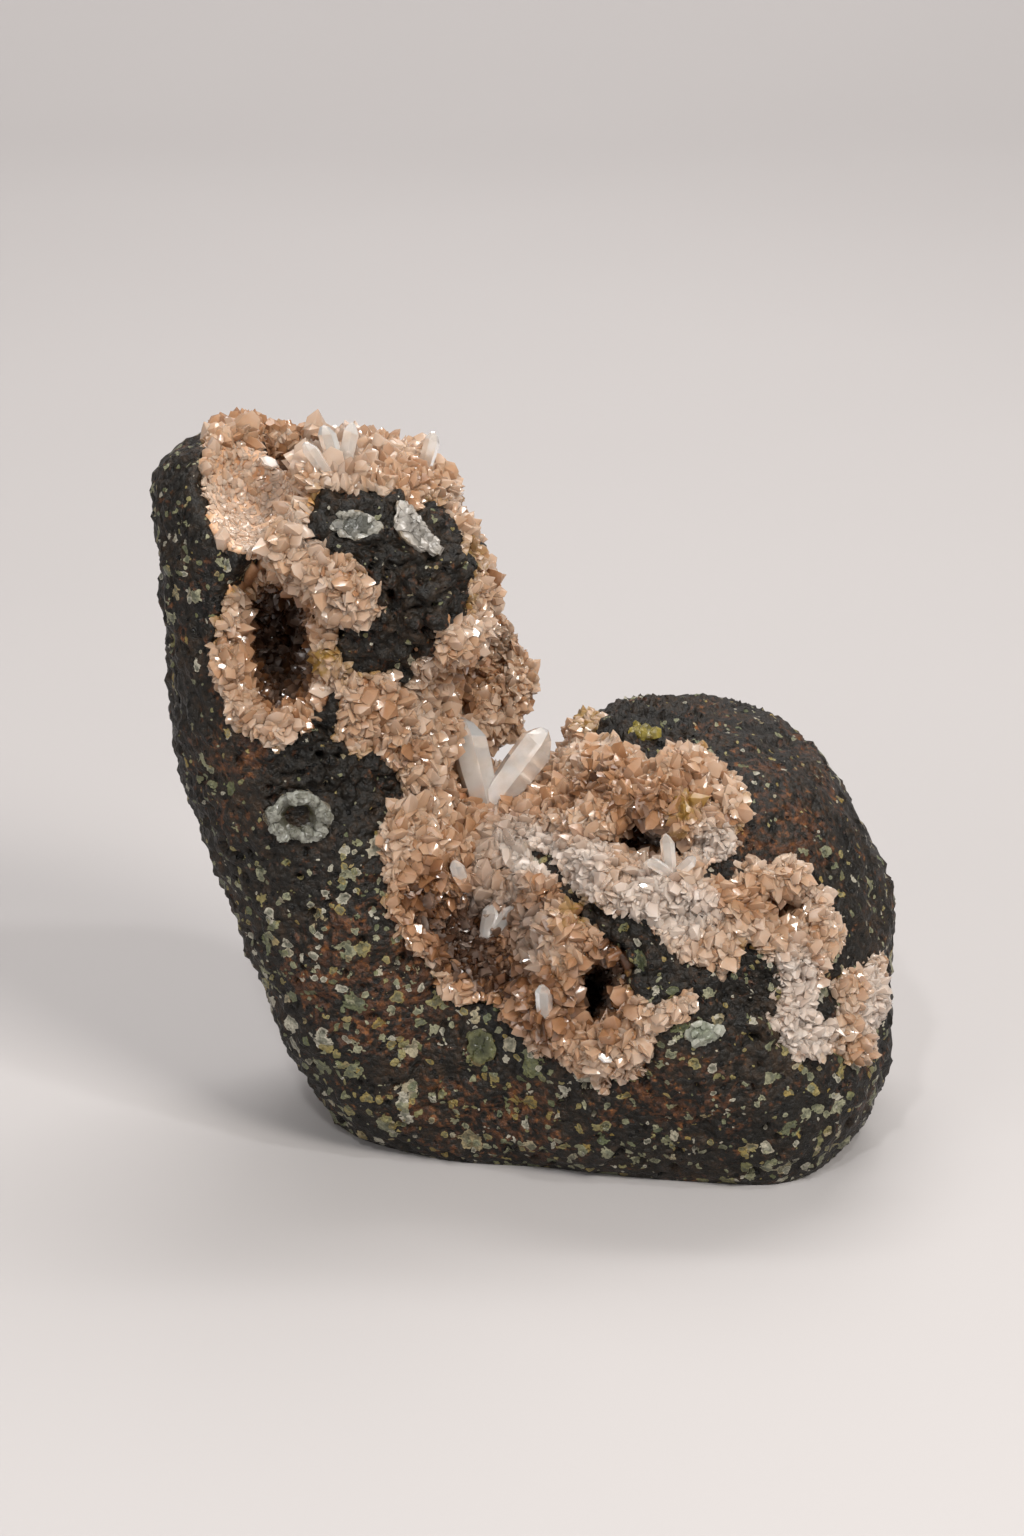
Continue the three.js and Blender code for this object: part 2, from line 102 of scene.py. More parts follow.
def bent_form(angles, turns):
    """Rings round the saddle's line: at each angle a superellipse, |c|^2.5 + |s|^2.5 = 1, between the
    inner and outer radius and the front and back depth, closed by sqrt(1 - t^2) at both ends."""
    inner, outer, front, back = table_at(SECTIONS, angles).T
    first, last = SECTIONS[0, 0], SECTIONS[-1, 0]
    to_tower = (first + TOWER_ROUND - angles) / TOWER_ROUND
    to_hump = (angles - last + HUMP_ROUND) / HUMP_ROUND
    to_end = np.clip(np.maximum(to_tower, to_hump), 0, 1)
    opened = np.sqrt(1 - to_end ** 2)[:, None]
    across = np.sign(np.cos(turns)) * np.abs(np.cos(turns)) ** (2 / SQUARENESS)
    deep = np.sign(np.sin(turns)) * np.abs(np.sin(turns)) ** (2 / SQUARENESS)
    middle = ((inner + outer) / 2)[:, None]
    radius = middle + ((outer - inner) / 2)[:, None] * opened * across
    depth = -np.where(deep > 0, front[:, None], back[:, None]) * opened * deep
    turn = np.radians(angles)[:, None]
    x = SADDLE[0] + radius * np.cos(turn)
    z = SADDLE[1] + radius * np.sin(turn)
    p = np.stack([x, depth, z], axis=-1)
    centre_x = SADDLE[0] + middle * np.cos(turn)
    centre_z = SADDLE[1] + middle * np.sin(turn)
    centre = np.stack([centre_x, 0 * middle, centre_z], -1)
    out = p - centre
    out /= np.maximum(np.linalg.norm(out, axis=-1, keepdims=True), 1e-6)
    return p + out * (swell(p) * opened)[..., None]


def with_lobe(p):
    """Points inside the lobe's leaning ellipsoid move out to it, along rays from the lobe's root."""
    c, s = math.cos(LOBE_LEAN), math.sin(LOBE_LEAN)
    upright = np.array([[c, 0, -s], [0, 1, 0], [s, 0, c]])
    ball = (p - LOBE_MIDDLE) @ upright.T / LOBE_HALF
    root = (LOBE_ROOT - LOBE_MIDDLE) @ upright.T / LOBE_HALF
    ray = ball - root
    squared = np.maximum((ray ** 2).sum(-1), 1e-9)
    along = ray @ root
    reach = (-along + np.sqrt(np.maximum(along ** 2 - squared * (root @ root - 1), 0))) / squared
    inside = (ball ** 2).sum(-1) < 1
    return np.where(inside[..., None], LOBE_ROOT + (p - LOBE_ROOT) * reach[..., None], p)


def across_and_up(way):
    """Two unit vectors square to a direction, one level and one rising."""
    across = np.cross(way, [0, 0, 1])
    across = across / np.linalg.norm(across)
    return across, np.cross(across, way)


def ring_angles(count):
    """Angles along the rock: even arcs over each rounded end, even steps between them."""
    first, last = SECTIONS[0, 0], SECTIONS[-1, 0]
    ends = count // 9
    arc = np.linspace(0.02, math.pi / 2, ends)
    tower = first + TOWER_ROUND * (1 - np.cos(arc))
    hump = last - HUMP_ROUND * (1 - np.cos(arc))[::-1]
    body = np.linspace(tower[-1], hump[0], count - 2 * ends + 2)[1:-1]
    return np.concatenate([tower, body, hump])


def ring_turns(count, front_share):
    """Angles round a section, with a share of them on the front half, where turn is 0 to 180 degrees."""
    front = int(count * front_share)
    ahead_half = np.linspace(0, math.pi, front, endpoint=False)
    back_half = np.linspace(math.pi, 2 * math.pi, count - front, endpoint=False)
    return np.concatenate([ahead_half, back_half])


# The pockets: bowls that the gas left, each given by its rim's middle, the way in, half width, half
# height, depth, and how blunt the bottom is.
HOLLOWS = [
    (on_face(-36.5, 19.5, -30), AHEAD, 9.5, 14.5, 20, 2.2),
    (on_face(-35, 20.5, -18), AHEAD, 6, 4, 12, 3),
    (on_face(-39.5, 47, -34), AHEAD, 9.5, 14, 17, 4),
    (np.array([-31, 2, 116]), np.array([0.15, 0.2, -0.97]), 12, 9.5, 24, 2.5),
    (np.array([-5, 5, 77]), np.array([-1, 0.1, -0.12]), 6.5, 9, 13, 2.5),
    (on_face(-5.5, 17, 6), AHEAD, 4.5, 4.5, 10, 2.2),
    (on_face(-5, -27, -22), AHEAD, 15, 17, 10, 2),
    (on_face(13, -35, -19), AHEAD, 6, 8.5, 18, 2.4),
    (on_face(21, -11, -23), AHEAD, 11, 6, 12, 2.2),
    (on_face(43.5, -21.5, -22), AHEAD, 7, 6, 9, 2),
]
SLAB = 2  # the pocket whose wall is a fine-grained slab of crystals
WALL_SPREAD = 2


def pressed(form, lining):
    """Points in front of a bowl's floor, depth (1 - s^blunt) with s the share of the way out to its
    wall, move along the way in to that floor; the moves are then averaged with their neighbours', so
    that a wall is spread over a few points. Also gives how deep each point lies in a bowl, and s."""
    p = form.copy()
    sunk = np.zeros(p.shape[:-1])
    nearest = np.full(p.shape[:-1] + (len(HOLLOWS),), 9.0)
    for n, (rim, way, wide, high, deep, blunt) in enumerate(HOLLOWS):
        way = way / np.linalg.norm(way)
        across, up = across_and_up(way)
        rel = p - rim
        s = np.sqrt((rel @ across / (wide - lining)) ** 2 + (rel @ up / (high - lining)) ** 2)
        floor = (deep - lining) * (1 - np.minimum(s, 1) ** blunt)
        short = np.where(s < 1, np.maximum(floor - rel @ way, 0), 0)
        nearest[..., n] = np.where(short > 0, s, 9.0)
        p += short[..., None] * way
        sunk = np.maximum(sunk, np.where(short > 0, floor, 0))
    move = p - form
    for _ in range(WALL_SPREAD):
        move = (np.roll(move, 1, axis=1) + 2 * move + np.roll(move, -1, axis=1)) / 4
        move[1:-1] = (move[:-2] + 2 * move[1:-1] + move[2:]) / 4
    return form + move, np.maximum(sunk, np.linalg.norm(move, axis=-1)), nearest


# Seeded noise for the grain of the rock and the jumble of the crystals, worked out for whole arrays, and
# the same at each run.
def scramble(cells, seed):
    """A number from 0 to 1 for each integer cell: products with large primes, mixed by exclusive or."""
    cells = cells.astype(np.int64)
    h = cells[..., 0] * 73856093 ^ cells[..., 1] * 19349663 ^ cells[..., 2] * 83492791 ^ seed * 2654435761
    h = (h ^ (h >> 13)) * 1274126177 & 0xFFFFFFFF
    h = (h ^ (h >> 16)) * 668265263 & 0xFFFFFFFF
    return (h & 0xFFFFFF) / 0xFFFFFF


def cloud(p, size, seed):
    """Value noise from -1 to 1: random values at the corners of a lattice, blended smoothly."""
    q = p / size
    cell = np.floor(q)
    t = q - cell
    t = t * t * (3 - 2 * t)
    total = 0
    for corner in range(8):
        step = np.array([corner & 1, corner >> 1 & 1, corner >> 2 & 1])
        weight = np.prod(np.where(step == 1, t, 1 - t), axis=-1)
        total = total + weight * scramble(cell + step, seed)
    return 2 * total - 1


def grains(p, size, seed):
    """Distances, in cells, to the nearest and next nearest of one random point per lattice cell, and
    the nearest one's own random number."""
    q = p / size
    cell = np.floor(q)
    first = np.full(q.shape[:-1], 9.0)
    second = first.copy()
    number = np.zeros(q.shape[:-1])
    for n in range(27):
        here = cell + np.array([n % 3 - 1, n // 3 % 3 - 1, n // 9 - 1])
        jitter = np.stack([scramble(here, seed + k) for k in (1, 2, 3)], axis=-1)
        gap = np.linalg.norm(here + jitter - q, axis=-1)
        closer = gap < first
        second = np.where(closer, first, np.minimum(second, gap))
        number = np.where(closer, scramble(here, seed + 4), number)
        first = np.where(closer, gap, first)
    return first, second, number


# The crystal patches: where the rock is broken open and the crystals line it, as outlines on the
# broken face and how far back each wraps, and two islands of bare rock, given in the same way.
TOWER_PATCH = [
    (-48.5, 54), (-47.5, 64), (-9, 64), (-9.5, 47), (-9, 42), (-6.5, 38), (-4.5, 32),
    (-2.5, 30), (-5, 26), (-7.5, 24), (-10, 19.5), (-13.5, 17.5), (-17.5, 14), (-20.5, 14.5),
    (-25, 15.5), (-27.5, 14.5), (-29, 12), (-32, 10.5), (-33.5, 9), (-34.5, 5), (-36.5, 4), (-40, 5),
    (-42, 6), (-44.5, 8.5), (-44.5, 12), (-46, 16), (-47, 19.5), (-45, 23.5), (-43.5, 26.5),
    (-42, 28.5), (-40.5, 30), (-38, 31), (-38, 33), (-40, 34), (-42.5, 35), (-45, 35.5), (-46, 39.5),
    (-46, 43), (-46, 47), (-47.5, 49.5),
]
CAP_ISLAND = [
    (-31.5, 43.5), (-25.5, 43.5), (-22, 43.5), (-20.5, 42.5), (-17, 41.5), (-15, 40.5), (-12.5, 43),
    (-11, 42), (-7.5, 37.5), (-7, 33), (-7, 28.5), (-6.5, 27), (-8, 24.5), (-11.5, 21.5), (-10.5, 20),
    (-11, 19), (-14, 18.5), (-15.5, 16.5), (-17.5, 15), (-20.5, 15.5), (-25, 16.5), (-27.5, 20),
    (-27.5, 22.5), (-25, 22.5), (-22.5, 22), (-20.5, 24.5), (-20.5, 28), (-22, 30), (-24.5, 33),
    (-28, 34.5), (-30.5, 36), (-31.5, 38.5),
]
NECK_PATCH = [
    (-26.5, 16), (-21.5, 16), (-18, 15.5), (-15.5, 17), (-11, 19.5), (-10.5, 21.5), (-6, 26.5),
    (-3.5, 20), (-5.5, 10.5), (-8, 1.5), (-8, -7.5), (-19, -7.5), (-19, -5.5), (-17, -5), (-18, -1.5),
    (-18.5, 1), (-21, 3.5), (-23, 3), (-25.5, 1.5), (-26.5, 3.5), (-27.5, 6.5), (-27.5, 10), (-27, 13),
]
MAIN_PATCH = [
    (-20, -5), (-11.5, -2), (-9, 1.5), (-2, 1.5), (4.5, 2), (8, 2), (9.5, 4), (8.5, 5.5), (11.5, 9),
    (14, 9), (14, 5), (16, 5), (18.5, 3.5), (22, 1.5), (22.5, -1.5), (23, 1.5), (25, 3.5), (29, 4),
    (32.5, 2), (35.5, -1), (36.5, -4.5), (36.5, -7), (35.5, -9.5), (36, -11), (34.5, -13.5),
    (30, -14.5), (29.5, -16), (31.5, -17.5), (34, -17.5), (37, -15), (40, -22), (36.5, -25),
    (35.5, -26.5), (36, -30), (33, -32.5), (29, -35), (26, -39), (22, -41.5), (22, -43.5), (21, -46),
    (20.5, -49), (18.5, -48), (15.5, -47), (14.5, -50), (9, -47), (5.5, -45.5), (1.5, -42),
    (-0.5, -39), (-4, -36.5), (-8, -36.5), (-12, -36.5), (-12, -35), (-12.5, -31.5), (-13.5, -29),
    (-18, -25.5), (-19.5, -21.5), (-20.5, -17.5), (-21, -9.5),
]
ARM_PATCH = [
    (35, -18), (38, -14), (40.5, -15), (42, -13), (45, -14), (47, -16.5), (49.5, -19.5), (50.5, -23.5),
    (52.5, -26.5), (51, -28.5), (49, -28.5), (49, -32.5), (47.5, -37), (48, -40), (50.5, -39),
    (52, -36.5), (51, -33.5), (53.5, -31), (56, -30.5), (60, -28.5), (59.5, -38.5), (57, -46),
    (54, -46), (50.5, -44), (46, -45.5), (44, -45.5), (41.5, -42), (41, -37.5), (41.5, -34.5),
    (41, -30.5), (36.5, -25),
]
WEDGE_ISLAND = [
    (2.5, -12), (4.5, -13), (6.5, -12.5), (8, -14.5), (9.5, -19), (14, -21), (18.5, -22), (22, -24),
    (25.5, -28.5), (29.5, -30.5), (32, -32), (29, -33.5), (26, -35), (22.5, -36.5), (20, -35.5),
    (18.5, -33.5), (15.5, -28), (13, -25.5), (10, -21), (7, -17.5), (4.5, -15.5), (3, -14.5),
]
LOBE_PATCH = [(-7, 31), (3, 31), (8, 22), (8, 8), (-2, 4), (-9.5, 4), (-10, 19.5)]
PATCHES = [(TOWER_PATCH, 17), (NECK_PATCH, 12), (MAIN_PATCH, 19), (ARM_PATCH, -4), (LOBE_PATCH, 18)]
ISLANDS = [(CAP_ISLAND, 0), (WEDGE_ISLAND, 20)]
BARE_FOOT = 2.5  # no crystals grow closer than this to what the rock stands on


def inside_by(a, b, outline):
    """How far each point lies inside a closed outline, in millimetres, negative outside it."""
    corners = np.array(outline, dtype=float)
    gap = np.full(a.shape, 1e9)
    within = np.zeros(a.shape, dtype=bool)
    for (x0, y0), (x1, y1) in zip(corners, np.roll(corners, -1, axis=0)):
        dx, dy = x1 - x0, y1 - y0
        t = np.clip(((a - x0) * dx + (b - y0) * dy) / (dx * dx + dy * dy), 0, 1)
        gap = np.minimum(gap, np.hypot(a - x0 - t * dx, b - y0 - t * dy))
        crosses = (y0 > b) != (y1 > b)
        within ^= crosses & (a < x0 + (b - y0) * dx / (dy if dy else 1e-9))
    return np.where(within, gap, -gap)


def crystal_cover(p, nearest):
    """How far inside the crystal patches each point of the form lies: the outlines with ragged edges,
    cut off at the back, less the islands, which reach back too, joined with the bowls."""
    a = p[..., 0]
    b = (p - FACE_ORIGIN) @ UP_FACE
    ragged = 0.9 * cloud(p, 3.4, 11) + 0.6 * cloud(p, 1.6, 12)
    cover = np.full(a.shape, -1e9)
    for outline, back in PATCHES:
        cover = np.maximum(cover, np.minimum(inside_by(a, b, outline), back - p[..., 1]))
    for outline, back in ISLANDS:
        cover = np.minimum(cover, -np.minimum(inside_by(a, b, outline), back - p[..., 1]))
    sizes = np.array([min(wide, high) for _, _, wide, high, _, _ in HOLLOWS])
    for n, size in enumerate(sizes):
        cover = np.maximum(cover, (1 - nearest[..., n]) * size)
    return np.minimum(cover + ragged, p[..., 2] - BARE_FOOT)


def steps_out(p):
    """Unit normals of a grid of points that closes round its second direction."""
    along = np.gradient(p, axis=0)
    around = np.roll(p, -1, axis=1) - np.roll(p, 1, axis=1)
    n = np.cross(along, around)
    return n / np.maximum(np.linalg.norm(n, axis=-1, keepdims=True), 1e-9)


def ease(low, high, x):
    """A smooth step from 0 at low to 1 at high."""
    t = np.clip((x - low) / (high - low), 0, 1)
    return t * t * (3 - 2 * t)


def spots_at(a, b, spots):
    """The strongest of some soft round spots, given as across, up, half width, half height."""
    strength = np.zeros(a.shape)
    for x, y, wide, high in spots:
        strength = np.maximum(strength, 1 - ease(0.5, 1.25, np.hypot((a - x) / wide, (b - y) / high)))
    return strength


ANGLES = ring_angles(470)
TURNS = ring_turns(205, 0.66)
FORM = with_lobe(bent_form(ANGLES, TURNS))
ROCK_FLOOR = pressed(FORM, 0.0)[0]
CRUST_LINING = 1.5  # how much nearer the crust's bowls are than the rock's
OUTER_FLOOR, outer_sunk, outer_near = pressed(FORM, CRUST_LINING)
COVER = crystal_cover(FORM, outer_near)
IN_SLAB = outer_near[..., SLAB] < 1.0
FORM_ACROSS = FORM[..., 0]
FORM_UP = (FORM - FACE_ORIGIN) @ UP_FACE

# The crust lies lower at the tower's top and on the lobe
LOBE_SPOT = [(0, 18, 8, 13)]
TOP_SETTLES = 2.2
LOBE_SETTLES = 1.4
SETTLED = TOP_SETTLES * ease(50, 55, FORM_UP)
SETTLED = SETTLED + LOBE_SETTLES * spots_at(FORM_ACROSS, FORM_UP, LOBE_SPOT)


# The larger nodules in the rock's skin: node, across and up the face, half width and height, crown
# height, whether the middle is dished, the colours of rim and core, and the outline's shares of the half
# sizes at every 45 degrees.
NODULES = [
    ("ring_nodule", -33.3, -6.9, 5.2, 4.4, 0.8, True, (0.36, 0.36, 0.31), (0.05, 0.045, 0.022),
     (1.0, 0.95, 1.0, 0.85, 1.05, 1.0, 0.85, 1.0)),
    ("cap_white_nodule", -15, 37.2, 2.9, 5.2, 0.25, False, (0.50, 0.46, 0.41), (0.27, 0.25, 0.22),
     (1.0, 1.0, 1.0, 0.9, 1.15, 0.75, 0.6, 1.25)),
    ("cap_grey_nodule", -23.5, 37.6, 4.4, 2.3, 0.2, False, (0.36, 0.34, 0.29), (0.10, 0.10, 0.085),
     (1.0, 0.8, 1.1, 1.0, 0.9, 0.7, 1.1, 0.9)),
    ("green_nodule", -5, -42.5, 2.8, 3.2, 0.3, False, (0.17, 0.17, 0.07), (0.055, 0.06, 0.025),
     (0.85, 0.8, 1.25, 1.0, 0.7, 0.95, 1.2, 1.1)),
    ("white_nodule", 29.8, -40.8, 2.7, 2.2, 0.4, False, (0.47, 0.47, 0.40), (0.25, 0.27, 0.20),
     (1.2, 0.8, 0.9, 1.05, 1.0, 1.0, 0.75, 0.95)),
    ("yellow_nodule", 21.2, 6.4, 2.5, 2.1, 0.5, False, (0.38, 0.30, 0.06), (0.17, 0.14, 0.04),
     (1.0, 1.15, 0.7, 0.9, 1.1, 0.7, 1.15, 0.9)),
]
FORM_WAYS = steps_out(FORM)


def nodule_seat(a, b):
    """The form's point nearest to a place on the face, of those that look forward, and its normal."""
    gap = np.hypot(FORM_ACROSS - a, FORM_UP - b) + 99 * (FORM_WAYS @ AHEAD > -0.1)
    best = np.unravel_index(np.argmin(gap), gap.shape)
    return FORM[best], FORM_WAYS[best]


NODULE_SEATS = {nodule[0]: nodule_seat(nodule[1], nodule[2]) for nodule in NODULES}


def mesh_piece(name, vertices, faces, material, smooth, attributes=None):
    """A mesh object at the origin from points in the rock's frame, with faces given as an index array
    of triangles or quads and numbers kept on its points."""
    mesh = bpy.data.meshes.new(name)
    vertices = (np.asarray(vertices).reshape(-1, 3) + TO_FRAME) * MM
    faces = [np.asarray(f, dtype=np.int32) for f in (faces if isinstance(faces, list) else [faces])]
    corners = np.concatenate([f.ravel() for f in faces])
    counts = np.concatenate([np.full(len(f), f.shape[1], dtype=np.int32) for f in faces])
    mesh.vertices.add(len(vertices))
    mesh.vertices.foreach_set("co", vertices.ravel())
    mesh.loops.add(len(corners))
    mesh.loops.foreach_set("vertex_index", corners)
    mesh.polygons.add(len(counts))
    mesh.polygons.foreach_set("loop_start", np.cumsum(counts) - counts)
    mesh.polygons.foreach_set("use_smooth", np.full(len(counts), smooth))
    for label, values in (attributes or {}).items():
        mesh.attributes.new(label, "FLOAT", "POINT").data.foreach_set("value", np.ravel(values))
    mesh.materials.append(material)
    mesh.update(calc_edges=True)
    mesh.validate()
    piece = bpy.data.objects.new(name, mesh)
    bpy.context.collection.objects.link(piece)
    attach(piece, "root")
    return piece


# Shader sums are written as Python expressions on wires
class Wire:
    """A socket of a finish's nodes: an operator on it adds the Math node that works it out."""

    def __init__(self, finish, node, output):
        self.finish = finish
        self.node = node
        self.socket = node.outputs[output]

    def other(self, output):
        return Wire(self.finish, self.node, output)

    def math(self, operation, *values):
        return self.finish.add("Math", {"operation": operation}, dict(enumerate(values)))

    def __add__(self, value):
        return self.math("ADD", self, value)

    def __sub__(self, value):
        return self.math("SUBTRACT", self, value)

    def __mul__(self, value):
        return self.math("MULTIPLY", self, value)

    def __rsub__(self, value):
        return self.math("SUBTRACT", value, self)

    def __gt__(self, value):
        return self.math("GREATER_THAN", self, value)

    __radd__ = __add__
    __rmul__ = __mul__

    def between(self, low, high):
        """0 below low, 1 above high, smooth between."""
        inputs = {"Value": self, "From Min": low, "From Max": high}
        return self.finish.add("MapRange", {"interpolation_type": "SMOOTHSTEP"}, inputs)


class Finish:
    """A material whose nodes come from one method, and the shader that they feed."""

    def __init__(self, name):
        self.material = bpy.data.materials.new(name)
        self.material.use_nodes = True
        self.tree = self.material.node_tree
        self.shader = self.tree.nodes["Principled BSDF"]
        self.place = self.add("TexCoord", {}, {}, "Object")

    def add(self, kind, settings, inputs, output=0):
        """A node of a kind, its settings first and then its sockets, as the wire of one output."""
        prefix = "ShaderNodeTex" if kind in ("Noise", "Voronoi") else "ShaderNode"
        node = self.tree.nodes.new(prefix + kind)
        for key, value in settings.items():
            if key == "stops":
                while len(node.color_ramp.elements) < len(value):
                    node.color_ramp.elements.new(0.5)
                for stop, (place, colour) in zip(node.color_ramp.elements, value):
                    stop.position = place
                    stop.color = (*colour, 1)
            else:
                setattr(node, key, value)
        for key, value in inputs.items():
            self.feed(node.inputs[key], value)
        return Wire(self, node, output)

    def feed(self, socket, value):
        if isinstance(value, Wire):
            self.tree.links.new(value.socket, socket)
        elif isinstance(value, tuple) and len(value) == 3 and socket.type == "RGBA":
            socket.default_value = (*value, 1)
        else:
            socket.default_value = value

    def noise(self, size, detail=4.0, roughness=0.55, place=None):
        """Fractal noise whose features are about size millimetres across."""
        inputs = {"Vector": place or self.place, "Scale": 1 / (size * MM), "Detail": detail}
        return self.add("Noise", {}, {**inputs, "Roughness": roughness})

    def cells(self, size, feature="F1", place=None):
        """Cells about size millimetres across: the distance from their points, or to their edges."""
        inputs = {"Vector": place or self.place, "Scale": 1 / (size * MM)}
        return self.add("Voronoi", {"feature": feature}, inputs, "Distance")

    def shaken(self, size, amount):
        """The place, moved about by noise of a size, by an amount in millimetres."""
        inputs = {"Vector": self.place, "Scale": 1 / (size * MM), "Detail": 3.0}
        shift = self.add("Noise", {}, inputs, "Color")
        centred = self.add("VectorMath", {"operation": "SUBTRACT"}, {0: shift, 1: (0.5, 0.5, 0.5)})
        scaled = self.add("VectorMath", {"operation": "SCALE"}, {0: centred, "Scale": 2 * amount * MM})
        return self.add("VectorMath", {"operation": "ADD"}, {0: self.place, 1: scaled})

    def mix(self, share, first, second):
        """Two colours blended by a share."""
        return self.add("Mix", {"data_type": "RGBA"}, {0: share, 6: first, 7: second}, 2)

    def ramp(self, share, stops):
        return self.add("ValToRGB", {"stops": stops}, {"Fac": share}, "Color")

    def channel(self, cell, name):
        """One channel of a cell's own random colour, as a number from 0 to 1."""
        return self.add("SeparateColor", {}, {"Color": cell.other("Color")}, name)

    def kept(self, label):
        """A number kept on the mesh's points."""
        return self.add("Attribute", {"attribute_name": label}, {}, "Fac")

    def finished(self, bump=None, strength=0.5, distance=0.3, **sockets):
        for label, value in sockets.items():
            self.feed(self.shader.inputs[label.replace("_", " ")], value)
        if bump is not None:
            raised = self.add("Bump", {}, {"Height": bump, "Strength": strength, "Distance": distance * MM})
            self.feed(self.shader.inputs["Normal"], raised)
        return self.material


# The basalt: a near-black rock with beady grain and gas holes, brown and rusty where it weathers,
# with hundreds of small pale amygdales, ragged in outline and glassy, worn flush with its skin.
SPOT_SIZES = [(4.6, 0.66, 0.46), (2.9, 0.45, 0.48), (1.7, 0.45, 0.5)]  # cell in mm, least number, reach


def basalt_finish():
    """Dark and beady, rusty in places, with gas holes painted near black as painted shade and three sizes
    of pale amygdales.
    """
    f = Finish("basalt")
    patchy = f.noise(11.0, 4.0)
    fine = f.noise(1.8, 6.0, 0.7)
    dark = f.ramp(fine * 0.65 + patchy * 0.35, [
        (0.38, (0.003, 0.0026, 0.0018)), (0.5, (0.009, 0.0068, 0.0042)),
        (0.6, (0.027, 0.016, 0.0085)), (0.76, (0.075, 0.042, 0.020))])
    rusting = f.noise(7.0, 5.0, 0.7) * 0.5 + f.noise(1.1, 4.0) * 0.5 + f.kept("rusty") * 0.09
    rusted = f.ramp(fine, [
        (0.36, (0.03, 0.012, 0.006)), (0.55, (0.09, 0.034, 0.013)), (0.7, (0.30, 0.11, 0.026))])
    rock = f.mix(rusting.between(0.55, 0.64) * 0.85, dark, rusted)
    vesicle = f.cells(2.0, place=f.shaken(1.4, 0.5))
    hole = 1 - vesicle.between(0.14, 0.22)
    # Painted shade: the gas holes are painted near black for the shade inside them
    rock = f.mix(hole * 0.9, rock, (0.001, 0.001, 0.001))

    wavy = f.shaken(1.8, 0.7)
    ragged = (f.noise(0.7, 2.0) - 0.5) * 0.24 + (f.noise(1.6, 2.0) - 0.5) * 0.85
    crowd = (f.noise(15.0, 3.0) * 0.75 + f.kept("crowd") * 0.5).between(0.42, 0.8)
    mineral = [(0.0, (0.19, 0.19, 0.10)), (0.22, (0.30, 0.29, 0.19)), (0.42, (0.10, 0.115, 0.05)),
               (0.56, (0.28, 0.24, 0.10)), (0.72, (0.26, 0.18, 0.045)), (0.86, (0.42, 0.39, 0.31))]
    colour, raised = rock, 0.0
    for size, least, reach in SPOT_SIZES:
        cell = f.cells(size, place=wavy)
        number = f.channel(cell, "Red")
        inside = number * reach * (crowd * 0.68 + 0.3) - cell - ragged
        spot = inside.between(0.0, 0.02) * (number > least)
        core = inside.between(0.04, 0.16) * f.noise(1.3, 3.0).between(0.35, 0.6)
        tone = f.ramp(f.channel(cell, "Green"), mineral)
        tone = f.mix(core * 0.75, tone, (0.075, 0.085, 0.06))
        colour = f.mix(spot * 0.86, colour, tone)
        raised = spot + raised
    beads = f.cells(1.1, place=f.shaken(0.9, 0.3))
    height = (0.6 - beads) * 0.7 + f.noise(0.33, 3.0) * 0.4 - hole * 0.9 + raised * 0.2
    glossy = 0.2 + fine * 0.55 - raised * 0.12
    return f.finished(bump=height, strength=1.0, distance=0.7, Base_Color=colour, Roughness=glossy,
                      Specular_IOR_Level=0.3)


def closed_faces(rings, sides):
    """Quads between neighbouring rings, closed round, with a fan of triangles to a pole at each end;
    the poles are the two points after the rings."""
    i, j = np.meshgrid(np.arange(rings - 1), np.arange(sides), indexing="ij")
    k = (j + 1) % sides
    quads = np.stack([i * sides + j, (i + 1) * sides + j, (i + 1) * sides + k, i * sides + k], -1)
    quads = quads.reshape(-1, 4)
    j = np.arange(sides)
    k = (j + 1) % sides
    start, end = rings * sides, rings * sides + 1
    first = np.stack([np.full(sides, start), j, k], -1)
    last = np.stack([(rings - 1) * sides + j, np.full(sides, end), (rings - 1) * sides + k], -1)
    return [quads, np.concatenate([first, last])]


# Where the rock is craggy: the dark cap, the wedge in the saddle's front, two places by the neck, the
# hump's near edge and the arm's underside
RUGGED = [(-17, 31, 13, 17), (16, -25, 9, 12), (-30, 3, 9, 8), (-16, 0, 6, 9), (24, 8, 10, 5),
          (38, -30, 8, 12)]
# Where it is rusty: the hump, and four places low on the front and on the left
RUSTY = [(40, 0, 15, 18), (-22, -33, 14, 16), (-5, -55, 16, 8), (24, -50, 14, 7), (-43, 10, 6, 20)]
UNDER_CRUST = 2.3  # how far the rock's skin lies back under the crystals


